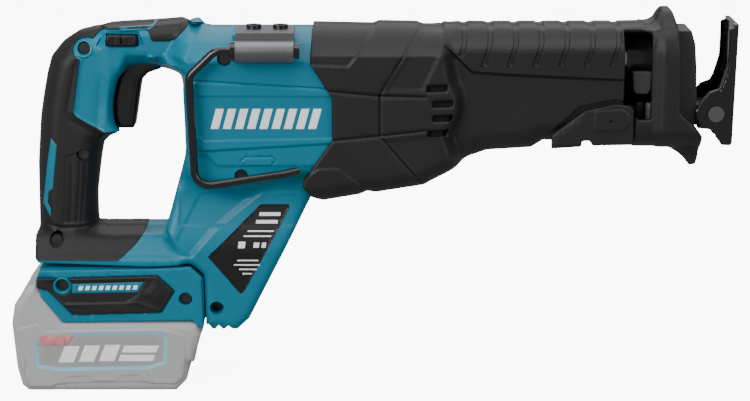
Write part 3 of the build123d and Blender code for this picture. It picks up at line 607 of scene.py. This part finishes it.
crown_outline = rounded([(-336.0, 21.2), (-313.4, 22.6), (-316.6, 20.2), (-333.5, 19.4)], 0.5)
crown = Moulding(crown_outline, 0.15, 0.4, 0.2, over=grip.height)
for side, name in sides:
    inlay = crown.flank(f"crown_strip_{name}", side, 0.0, 0.3)
    fit(inlay, teal_plastic, "frame", "housing_teal")


# Foot cheeks: two teal covers that hold the battery rails between them, with a black
# bumper clipped into each and a printed strip let into the bumper.
foot_outline = rounded([
    (-386.4, -126.6), (-316.2, -125.6), (-293.0, -124.6), (-286.2, -131.0), (-285.4, -163.6),
    (-287.8, -163.6), (-292.6, -159.0), (-372.4, -160.3), (-386.1, -143.9), (-386.4, -139.8),
    (-388.5, -136.2), (-388.7, -133.4), (-387.0, -128.8)], 0.8)
foot = Moulding(foot_outline, 37.4, 0.9, 0.7)
bumper_outline = rounded([
    (-387.9, -131.2), (-367.8, -131.3), (-313.3, -129.8), (-302.9, -139.6), (-311.6, -153.6),
    (-366.4, -155.1), (-381.2, -139.4), (-388.0, -138.2)], 0.9)
foot_screw_places = ((-372.2, -136.2, 4.0), (-296.3, -144.9, 4.3))
foot.groove(bumper_outline, 1.0, 0.5, True)
for x, z, radius in foot_screw_places:
    foot.bore(x, z, radius, 6.0)
for side, name in sides:
    cheek = foot.flank(f"foot_cheek_{name}", side, 31.0)
    fit(cheek, teal_plastic, "frame", "housing_teal")

bumper = Moulding(bumper_outline, 38.7, 1.3, 1.1, [disc(-372.2, -136.2, 5.4)])
slope = [(-384, -132.6), (-319.0, -131.9), (-325.2, -143.2), (-333, -148.2), (-371, -148.6),
         (-378.6, -141.5)]
bumper.panel(slope, -0.9, 1.6)
bumper.panel([(-323.8, -141.2), (-314.8, -131.5), (-307.3, -140.1), (-313, -151.5)], 0.9, 4.0)
bumper.groove([(-374, -148.4), (-326.2, -147.0), (-313, -151.5)], 1.6, -0.35)
for side, name in sides:
    pad = bumper.flank(f"bumper_{name}", side, 35.6, 0.8)
    fit(pad, grip_rubber, "frame", "black_plastic", f"bumper_{name}")
ring = Moulding(disc(-372.2, -136.2, 5.3), 38.6, 0.6, 0.5, [disc(-372.2, -136.2, 4.1)])
for side, name in sides:
    fit(ring.flank(f"screw_ring_{name}", side, 35.0, 0.4), teal_plastic, "frame", "housing_teal")
motif_outline = rounded([(-365.9, -135.2), (-321.8, -133.9), (-325.9, -140.4), (-366.2, -141.0)], 0.4)
motif = Moulding(motif_outline, 0.15, 0.3, 0.15, over=bumper.height)
for side, name in sides:
    plate = motif.flank(f"bumper_strip_{name}", side, lambda x, z: bumper.height(x, z) - 0.5, 0.3)
    fit(plate, teal_plastic, "frame", "housing_teal")


# Front cover: a thick rubbery boot pulled over the gear case. Its back edge is cut in a
# zigzag, the barrel has a ribbed grip, and a flange in front keeps the hand back.
cover_rubber = moulded("cover_rubber", (0.0135, 0.0125, 0.0135), 0.48, grain_mm=0.6, shift=0.12)
rib_pitch, rib_first, rib_count = 15.6, -124.2, 7
zigzag = [(-222.8, -69.4), (-205.3, -44.7), (-205.5, -18.2), (-218.4, 2.4)]
cover_top = [(-179.8, 20.6), (-177, 22.2), (-153.3, 21.6), (-149.5, 19.9), (-138, 19.4), (-136.4, 21.0)]
for rib in range(rib_count):
    x = rib_first + rib * rib_pitch
    cover_top += [(x - 2.6, 21.3), (x - 1.5, 20.2), (x + 1.5, 20.2), (x + 2.6, 21.4)]
flange_edge = [
    (-14.3, 21.9), (-13, 20.4), (-8.9, 20.6), (-5.4, 22.8), (-3.9, 27.3), (-2.6, 31.2), (2.6, 31.2),
    (4.5, 24), (5.0, 20.4), (6, -3.5), (6.3, -28.7), (18.5, -40.6), (20.7, -44.2), (19.8, -58.9),
    (18.4, -63.6), (14.4, -63.9), (11.3, -59.6), (7.2, -55.9), (1.5, -52.2)]
cover_belly = [
    (-44.9, -51.9), (-46.8, -48.8), (-77, -48.8), (-83.1, -52.7), (-110.5, -54.4), (-121.2, -58.2),
    (-135.3, -66.7), (-149.5, -74), (-178.6, -78.6), (-184.2, -77.8), (-188.5, -79.7), (-210.8, -83.5)]
cover_outline = rounded([(-217.5, 21.6)] + cover_top + flange_edge + cover_belly
                        + [(-218.4, -80), (-223.4, -73.4)] + zigzag, 1.2)
cover_soft = rounded([(-280, 21.6)] + cover_top[:6] + [(-14.3, 21.9), (60, 21.9), (60, -51.9)] + cover_belly
                     + [(-280, -86)], 1.2)
window = rounded([(-27.6, 19.2), (-11, 19.2), (-11, -33.7), (-18.5, -33.7), (-27.6, -25)], 1.5)
vents = []
for x, z in ((-141.7, -12.5), (-138.3, -22), (-138.2, -30.9), (-141.2, -40.2)):
    vents.append(rounded([(x - 6.2, z - 2.1), (x + 5.9, z - 1.6), (x + 6.2, z + 2.3), (x - 6.1, z + 1.7)],
                         1.1))


def flange_half(x, z):
    """The flange flares from the barrel to its rim, round at the top, and narrows to the chin."""
    flare = 31 + 3.2 * ease((x + 10) / 7) - 12 * ease((-40 - z) / 18)
    return flare * np.sqrt(1 - 0.93 * np.clip((z - 4) / 27.7, 0, 1) ** 2.2)


def crown_slope(x, z):
    """How fast the hump narrows towards its top; the barrel does so later and more gently."""
    return 1.37 * ease((-126 - x) / 22)


def barrel_slope(x, z):
    """How fast the barrel narrows upwards; this fades out at the hump and at the flange."""
    return 0.85 * ease((x + 148) / 22) * ease((-12 - x) / 5)


def cover_flank(lever_side):
    """One side of the cover; the lever's side has the window and a sunk bed for the lever."""
    openings = vents + ([window] if lever_side else [])
    flank = Moulding(cover_outline, 31.0, 14.0, 11.0, openings, soft=[cover_soft], lip=(1.3, 1.1))
    turn = np.radians(np.arange(34, -46, -6))
    arc = np.stack([-150 + 27 * np.cos(turn), -23 + 27 * np.sin(turn)], 1)
    hump = np.concatenate([[(-240, 60), (-131.5, 60), (-131.5, 14), (-130, 4)], arc,
                           [(-127, -52), (-122, -62), (-126, -100), (-240, -100)]])
    flank.zone(hump, 9.0, 41.0, 11.0, 10.0)
    flank.zone([(-14, 60), (60, 60), (60, -90), (-14, -90)], 8.0, flange_half, 2.4, 2.2)
    flank.chamfer(6.5, crown_slope, 1.5)
    flank.chamfer(7.5, barrel_slope, 8.0)
    flank.panel([(-230, 30), (-230, 1.2), (-195, 0.1), (-178.4, 20.5), (-178.4, 30)], -1.5, 1.5)
    flank.panel([(-214, -61.6), (-201.5, -61), (-185.4, -73.6), (-184, -90), (-230, -90), (-226, -70)],
                0.9, 1.2)
    for line in ([(-206.8, -14.2), (-176.4, -17.0), (-174.0, -12.4), (-160.6, 9.6), (-150.8, 22)],
                 [(-176.4, -17.0), (-148.6, -17.6)],
                 [(-205.6, -44.5), (-176.3, -41.6), (-147.8, -38.4)],
                 [(-176.4, -17.0), (-176.3, -41.6), (-151.5, -70.5)]):
        flank.groove(line, 2.2, 1.0)
    flank.panel([(-174.0, -14.5), (-150.8, 24), (-138, 24), (-140, 5), (-149.5, -15.4)], -0.8, 3.0)
    flank.panel([(-175.2, -43.4), (-153, -70), (-140, -78), (-120, -60), (-128, -42), (-146.8, -40.5)],
                -0.8, 3.0)
    flank.panel([(-137.6, 40), (-137.6, 12.9), (-120.5, -3.7), (-103.1, -5.1), (-27.6, -8.8), (-12, -9),
                 (-12, 40)],
                1.3, 0.7)
    flank.groove([(-137.6, 12.9), (-120.5, -4.4), (-103.1, -5.8), (-27.6, -9.5)], 1.2, 0.6)
    for rib in range(rib_count):
        x = rib_first + rib * rib_pitch
        low = 6.0 if rib == 0 else -0.5
        bend = x - 0.8
        foot_x = bend - (12.9 - low) * 0.33
        flank.panel([(x - 1.6, 24), (bend - 1.6, 12.9), (foot_x - 1.8, low), (foot_x + 1.8, low),
                     (bend + 1.6, 12.9), (x + 1.6, 24)], -1.2, 0.35)
    if lever_side:
        flank.panel([(-20.2, -22.5), (-33, -20.4), (-54.7, -24.5), (-77.2, -45.3), (-76.5, -60),
                     (-20.2, -60)],
                    -3.0, 0.6)
    return flank


def cover_floor(x, z):
    """How far in each rim of the front cover reaches."""
    floor = np.where(inside(x, z, zigzag, False) < 0.8, 27.0, 0.0)
    for vent in vents:
        floor = np.where(inside(x, z, vent) > -0.5, 37.0, floor)
    floor = np.where(inside(x, z, window) > -0.5, 27.5, floor)
    return np.where((x > 4) & (z > -40) & (z < 19.5), 16.4, floor)


for side, name in sides:
    flank = cover_flank(side < 0)
    half = flank.flank(f"front_cover_{name}", side, cover_floor, wall=2.0)
    fit(half, cover_rubber, "frame", "black_plastic", "front_cover")


# Gear case: a cast alloy box under the cover, seen only through the vents and the gaps of the cover, with
# the grey clamp lug and a steel pin in the blade window. Its near-black colour is painted shade for what
# shows through those openings.
# Near-black casting colour: painted shade seen through the vents, the cover gaps and the blade window.
casting_painted_shade = moulded("casting_painted_shade", (0.010, 0.010, 0.0105), 0.5, grain_mm=0.9, shift=0.1, metal=0.5)
case_outline = rounded([
    (-212.0, 18.4), (-136.8, 18.4), (-29.0, 18.2), (-29.0, -46.5), (-79, -45.5), (-84, -49.5),
    (-109.5, -51.2), (-119.8, -55), (-134, -63.4), (-148.4, -70.6), (-178, -75.2), (-212.0, -76.5)], 2.0)


def case_floor(x, z):
    """The casting is open at the back, and bored in front for the spindle."""
    return np.where(x < -210.5, 30.0, np.where((x > -30.5) & (np.abs(z) < 14), 14.5, 0.0))


for side, name in sides:
    flank = cover_flank(side < 0)
    casting = Moulding(case_outline, -3.4, 1.0, 0.8, over=flank.height)
    fit(casting.flank(f"gear_case_{name}", side, case_floor, 1.2, 3.0, 1.5), casting_painted_shade, "frame",
        "cast_alloy", "gear_case", "motor_bracket")
lug_grey = moulded("lug_grey", (0.085, 0.083, 0.088), 0.4, grain_mm=0.3, shift=0.08)
lug_outline = rounded([(-21.4, -6), (-8.9, -6), (-9.4, -18.2), (-11.4, -20.6), (-18.6, -20.6),
                       (-20.6, -18)], 1.4)
lug = Moulding(lug_outline, 16.5, 1.4, 1.2)
fit(lug.flank("clamp_lug", -1, 12.8, 0.8), lug_grey, "frame", "black_steel")
stop_pin = Moulding(rounded([(-12.8, -25.2), (-8.6, -25.2), (-8.6, -36.0), (-12.8, -36.0)], 0.5), 21.0,
                    2.0, 2.0)
fit(stop_pin.flank("stop_pin", -1, 17.6, 0.8, bevel=0.0), lug_grey, "frame", "black_steel")
stop_block = Moulding(rounded([(-18.8, -24.6), (-14.0, -24.6), (-14.0, -36.0), (-18.8, -36.0)], 0.5),
                      19.6, 0.5, 0.4)
# The stop block in the blade window takes the same near-black painted shade.
fit(stop_block.flank("stop_block", -1, 17.6, 0.8, bevel=0.0), casting_painted_shade, "frame", "black_steel")


# Battery: a sliding pack, its case two grey mouldings with soft corners, with a printed
# label on each cheek.
battery_plastic = moulded("battery_plastic", (0.42, 0.425, 0.43), 0.5, grain_mm=0.5, shift=0.04)
battery_outline = rounded([
    (-289.2, -160.2), (-371.8, -161.1), (-386.6, -145.0), (-389.2, -135.2), (-393.8, -137.6),
    (-396.0, -139.5), (-402.6, -149), (-404.8, -161.1), (-402.4, -190.5), (-399.8, -200.9),
    (-395.5, -204.9), (-379.1, -204.9), (-376.6, -203.4), (-320.5, -202.6), (-318.5, -203.5),
    (-303, -203.6), (-296.4, -197.5), (-295.0, -187), (-291.7, -186.2), (-289.8, -177.5), (-287.1, -168)],
    1.2)
battery = Moulding(battery_outline, 37.9, 5.0, 4.5)
battery.panel([(-400, -163), (-388, -160.5), (-383, -165.0), (-311.1, -163.2), (-297.5, -167.2),
               (-296.0, -171.3), (-297.0, -193.4), (-302.5, -200.0), (-318, -200.0), (-321, -198.6),
               (-376, -199.8), (-381, -202), (-394, -202), (-399, -190)], 0.8, 1.2)
battery.panel([(-372, -202), (-372, -194.5), (-357, -194.0), (-355, -197.2), (-340, -196.8), (-338, -193.6),
               (-325, -193.2), (-322, -199), (-322, -202)], -0.5, 0.8)
battery.groove([(-320.6, -192.6), (-317, -200), (-306, -199.6)], 1.2, 0.6)
label_outline = rounded([
    (-368.1, -166.5), (-312.5, -165.2), (-307.9, -168.2), (-308.7, -186.4), (-320.9, -189.8),
    (-376.8, -191.1), (-390.1, -188.5), (-390.8, -172.1)], 0.8)
label_inner = rounded([
    (-367.4, -168.6), (-313.2, -167.3), (-310.0, -169.4), (-310.8, -184.7), (-321.2, -187.7),
    (-376.6, -188.9), (-388.0, -186.7), (-388.7, -173.4)], 0.8)
battery.panel(label_outline, -0.5, 0.5)
battery.groove([(-400, -178), (-396, -186), (-398, -202)], 1.2, 0.5)
for side, name in sides:
    cheek = battery.flank(f"battery_cheek_{name}", side, 30.0)
    fit(cheek, battery_plastic, "battery", "battery_grey", *(["battery_labels"] if side < 0 else []))
wear(battery_plastic, "battery_cover", "battery_base", "battery_latch")


def just_under(piece, depth):
    """A floor that follows a piece's surface from below, for what is laid on it."""
    return lambda x, z: piece.height(x, z) - depth


def printed(name, shapes, surface, lift, side):
    """Flat printed marks laid on a surface: each shape is four corners of a thin slip."""
    points, faces = [], []
    for shape in shapes:
        x, z = np.array(shape, float).T
        top = surface(x, z) + lift
        start = len(points)
        points += [(a * MM, side * y * MM, c * MM) for a, y, c in zip(x, top, z)]
        points += [(a * MM, side * (y - 2 * lift) * MM, c * MM) for a, y, c in zip(x, top, z)]
        boxes = [(0, 1, 2, 3), (7, 6, 5, 4), (0, 4, 5, 1), (1, 5, 6, 2), (2, 6, 7, 3), (3, 7, 4, 0)]
        faces += [tuple(start + k for k in (f if side > 0 else f[::-1])) for f in boxes]
    mesh = bpy.data.meshes.new(name)
    mesh.from_pydata(points, [], faces)
    made = bpy.data.objects.new(name, mesh)
    bpy.context.scene.collection.objects.link(made)
    return made


def slanted(x, z, wide, high, lean):
    """A slanted bar, from its lower left corner; its corners run clockwise."""
    return [(x, z), (x + lean, z + high), (x + lean + wide, z + high), (x + wide, z)]


label_film = moulded("label_film", (0.34, 0.34, 0.345), 0.35, grain_depth=0.002, shift=0.02)
label_blue = moulded("label_blue", (0.22, 0.46, 0.55), 0.35, grain_depth=0.002, shift=0.02)
label_red = moulded("label_red", (0.60, 0.20, 0.22), 0.35, grain_depth=0.002, shift=0.02)
print_white = moulded("print_white", (0.80, 0.80, 0.80), 0.4, grain_depth=0.002, shift=0.02)
film = Moulding(label_inner, 0.1, 0.2, 0.1, over=battery.height)
border = Moulding(label_outline, 0.16, 0.2, 0.1, [label_inner], over=battery.height)
tag = Moulding(rounded([(-388.5, -169.6), (-385.5, -174.6), (-369.6, -174.0), (-365.8, -167.4),
                        (-386.5, -168.0)], 1.2),
               38.85, 0.3, 0.15)
label_bars = [
    slanted(-376, -185.4, 9.5, 10.5, 4.2), slanted(-363.4, -185.0, 9.5, 10.5, 4.2),
    slanted(-350.8, -184.6, 9.5, 10.5, 4.2), slanted(-336.5, -179.0, 21.5, 4.4, 1.8),
    slanted(-338.8, -184.6, 21.5, 4.0, 1.6)]
for side, name in sides:
    for made, skin in ((film.flank(f"label_film_{name}", side, just_under(battery, 0.3), 0.1, 4.0),
                        label_film),
                       (border.flank(f"label_border_{name}", side, just_under(battery, 0.3), 0.1, 4.0),
                        label_blue),
                       (tag.flank(f"label_tag_{name}", side, 37.8, 0.1, 4.0), label_red),
                       (printed(f"label_bars_{name}", label_bars, battery.height, 0.2, side), print_white)):
        fit(made, skin, "battery", "battery_film")


# Printing on the teal shell: a row of slanted white bars on the motor case, a black
# rating plate on the leg, and ticks on the bumper strip.
case_bars = [slanted(-279.0 + 7.4 * k, -37.6, 4.9, 12.4, 3.4) for k in range(9)]
plate_black = moulded("plate_black", (0.009, 0.009, 0.010), 0.35, grain_depth=0.003, shift=0.05)
rating_outline = plate_outline * 0.992 + plate_outline.mean(0) * 0.008
rating = Moulding(rating_outline, 0.35, 0.4, 0.1, over=shell.height)
plate_rows = [
    ((-250.5, -93.4), 13.0, 2.2), ((-252.6, -98.4), 13.4, 2.6), ((-257.5, -102.6), 16.0, 0.9),
    ((-260.0, -105.6), 17.0, 0.9), ((-263.5, -112.5), 4.2, 4.0), ((-254.0, -112.2), 3.4, 3.2),
    ((-249.0, -112.2), 2.6, 3.2), ((-264.0, -120.6), 13.0, 0.8), ((-266.0, -123.4), 16.0, 0.8),
    ((-263.0, -126.2), 11.0, 0.8), ((-261.0, -129.0), 6.0, 0.8)]
plate_marks = [slanted(x, z, wide, high, high * 0.12) for (x, z), wide, high in plate_rows]
ticks = [slanted(-362.5 + 4.2 * k, -139.1 + 0.06 * k, 2.6, 2.7, 0.9) for k in range(9)]
for side, name in sides:
    fit(printed(f"case_bars_{name}", case_bars, shell.height, 0.12, side), print_white, "frame",
        "battery_film")
    plate = rating.flank(f"rating_plate_{name}", side, just_under(shell, 0.3), 0.2, 1.2)
    fit(plate, plate_black, "frame", "dark_plate", *(["rating_plate"] if side < 0 else []))
    marks = printed(f"plate_marks_{name}", plate_marks, rating.height, 0.05, side)
    fit(marks, print_white, "frame", "battery_film")
    marks = printed(f"strip_ticks_{name}", ticks, motif.height, 0.06, side)
    fit(marks, print_white, "frame", "battery_film")


# Trigger and lock-off button: hard black plastic. The trigger turns on a pin at its
# top; the button slides across the handle and is grooved down its middle.
control_black = moulded("control_black", (0.010, 0.0095, 0.010), 0.38, grain_mm=0.5, shift=0.06)
trigger_outline = rounded([
    (-311, -5.8), (-319.5, -8.6), (-323.8, -13.5), (-328.3, -41.5), (-329, -43.2), (-338, -43.2),
    (-340.6, -38), (-341, -26), (-338, -12), (-333, 0), (-325, 3.5), (-313, 3.5), (-310, 0)], 1.8)
trigger = Moulding(trigger_outline, 9.0, 3.2, 2.6)
trigger.groove([(-331.0, -42.0), (-326.5, -12.5)], 1.2, 0.25)
button_outline = rounded([(-343.4, 10.2), (-324.5, 10.2), (-324.5, 16.9), (-343.4, 16.9)], 2.0)
button = Moulding(button_outline, 20.4, 1.2, 1.0)
button.groove([(-334, 9), (-334, 18)], 1.4, 0.9)
for k in (-6.4, -4.6, 4.6, 6.4):
    button.groove([(-334 + k, 11.5), (-334 + k, 15.6)], 0.9, 0.35)
for side, name in sides:
    fit(trigger.flank(f"trigger_{name}", side, 0.0, 0.9), control_black, "trigger", "black_plastic",
        *(["trigger"] if side < 0 else []))
    fit(button.flank(f"lock_button_{name}", side, 0.0, 0.9), control_black, "lock_off", "black_plastic",
        *(["lock_off_button"] if side < 0 else []))


# Shoe lever: a black cranked plate on the right of the nose, moulded in one with the hub
# that it turns on. Turning it frees the shoe, so that the shoe can be moved in or out.
lever_outline = rounded([
    (-21.5, -27), (-24.5, -24.6), (-32.5, -23.6), (-51.5, -27.7), (-71.7, -43), (-71.6, -51.3),
    (-53.1, -50), (-52.9, -46.4), (-47.9, -46.4), (-46.7, -49.4), (-21.5, -49.0)], 1.4)
lever = Moulding(lever_outline, 32.6, 0.9, 0.8)
lever.panel([(-46, -27.5), (-28, -26.3), (-23.4, -31), (-23.4, -36.0), (-28, -40.6), (-46, -40.6)], 0.9,
            0.9)
lever.panel([(-50, -26), (-73, -43), (-73, -53), (-46, -53), (-49, -40)], 0.8, 5.0)
lever.bore(-35.5, -34.0, 0.9, 1.6, 0.2)
fit(lever.flank("shoe_lever_plate", -1, 31.35, 0.6, bevel=0.1), cover_rubber, "shoe_lock", "black_plastic",
    "shoe_lever")
hub = Moulding(disc(-32.5, -33.2, 8.6), 31.8, 0.4, 0.3)
fit(hub.flank("shoe_lever_hub", -1, 28.4, 0.6), cover_rubber, "shoe_lock", "black_plastic")


# Shoe: a pressed steel plate, black oxide, with two cheeks that the pin goes through. It
# bears on the work in front of the blade.
gloss_black = moulded("gloss_black", (0.006, 0.006, 0.007), 0.16, grain_depth=0.001, shift=0.05, coat=0.6)
cheek_outline = rounded([
    (36.9, 20.6), (40.8, 22.0), (42.4, 22.0), (40.9, -51.0), (39.6, -51.9), (34.5, -51.7), (30.4, -46.0),
    (29.0, -42.0), (19.2, -41.0), (17.8, -35.5), (17.2, -30.5), (20.8, -24.5), (25.5, -18.8), (31.4, -16.6),
    (33.2, -12.5), (35.3, -5.7), (36.6, -0.7), (36.9, 9.1)], 0.8)
plate_side = rounded([(39.7, 23.6), (42.8, 23.6), (42.6, 18.0), (41.0, -51.0), (38.4, -51.0), (39.0, -20.0),
                      (39.6, 17.0)], 0.6)
cheek_piece = Moulding(cheek_outline, 19.5, 0.7, 0.6, [disc(30.2, -31.8, 2.7)])
cheek_piece.groove([(37.9, 19.5), (37.9, -3.0), (34.5, -14.5), (32.0, -18.2)], 0.7, 0.25)
front_piece = Moulding(plate_side, 19.6, 0.7, 0.9)
for side, name in sides:
    fit(cheek_piece.flank(f"shoe_cheek_{name}", side, 17.0, 0.6, 2.5), gloss_black, "shoe", "black_steel")
    fit(front_piece.flank(f"shoe_front_{name}", side, 0.0, 0.6, 1.5, bevel=0.0), gloss_black, "shoe",
        "black_steel", *(["shoe_plate"] if side < 0 else []))


# Hook seat: a flat boss of the teal case, moulded with it in nylon, that the bracket of
# the hook is screwed down to.
seat_outline = rounded([(-265.5, 1.5), (-265.5, 19.9), (-229.0, 19.9), (-229.0, 1.5)], 0.8)
seat = Moulding(seat_outline, 36.0, 1.2, 1.0)
seat.bore(-270.2, 4.9, 5.0, 8.0)
fit(seat.flank("hook_seat", -1, 8.0, 1.2), teal_plastic, "frame", "housing_teal")


# Bare metal and inner pieces: steel, bronze and copper, with a few of nylon and rubber.
# They keep the shapes they are turned, cast, pressed, wound or moulded to.
nose_black = moulded("nose_black", (0.026, 0.025, 0.027), 0.45, grain_mm=0.5, shift=0.06)
blued_steel = moulded("blued_steel", (0.05, 0.05, 0.052), 0.3, grain_mm=0.3, shift=0.1, metal=0.7)
hook_grey = moulded("hook_grey", (0.15, 0.148, 0.155), 0.34, grain_mm=0.25, shift=0.08, metal=0.9)
plain_steel = moulded("plain_steel", (0.42, 0.42, 0.43), 0.25, grain_mm=0.3, shift=0.06, metal=1.0)
bronze_metal = moulded("bronze_metal", (0.42, 0.24, 0.10), 0.35, grain_mm=0.3, shift=0.1, metal=1.0)
copper_wire = moulded("copper_wire", (0.55, 0.20, 0.08), 0.3, grain_mm=0.3, shift=0.1, metal=1.0)
cell_film = moulded("cell_film", (0.05, 0.22, 0.12), 0.4, grain_depth=0.002, shift=0.04)
grey_nylon = moulded("grey_nylon", (0.12, 0.12, 0.125), 0.5, grain_mm=0.5, shift=0.05)
seal_rubber = moulded("seal_rubber", (0.01, 0.01, 0.01), 0.7, grain_mm=0.4, shift=0.1)
lens_clear = moulded("lens_clear", (0.70, 0.72, 0.74), 0.1, grain_depth=0.001, shift=0.02, coat=0.5)
wear(nose_black, "nose_cap")
wear(blued_steel, "clamp_sleeve", "shoe_bar", "housing_screws", "foot_screws", "trigger_pin", "lock_pin")
wear(gloss_black, "hook_wire", "hook_collars", "hook_screws")
wear(hook_grey, "hook_bracket", "shoe_pin")
wear(plain_steel, "spindle_rod", "blade_holder", "rotor_shaft", "rotor_bearings", "crank_bearings",
     "crank_gear", "crank_roller", "pinion", "rotor_core", "stator_core")
wear(bronze_metal, "rear_guide", "front_bushing")
wear(copper_wire, "stator_coils", "contact_blades")
wear(cell_film, "battery_cells")
wear(grey_nylon, "cell_holders", "fan", "switch_module", "controller", "terminal_block")
wear(seal_rubber, "spindle_seal")
wear(lens_clear, "lamp_lens")
wear(teal_plastic, "foot_cover_right", "foot_cover_left")
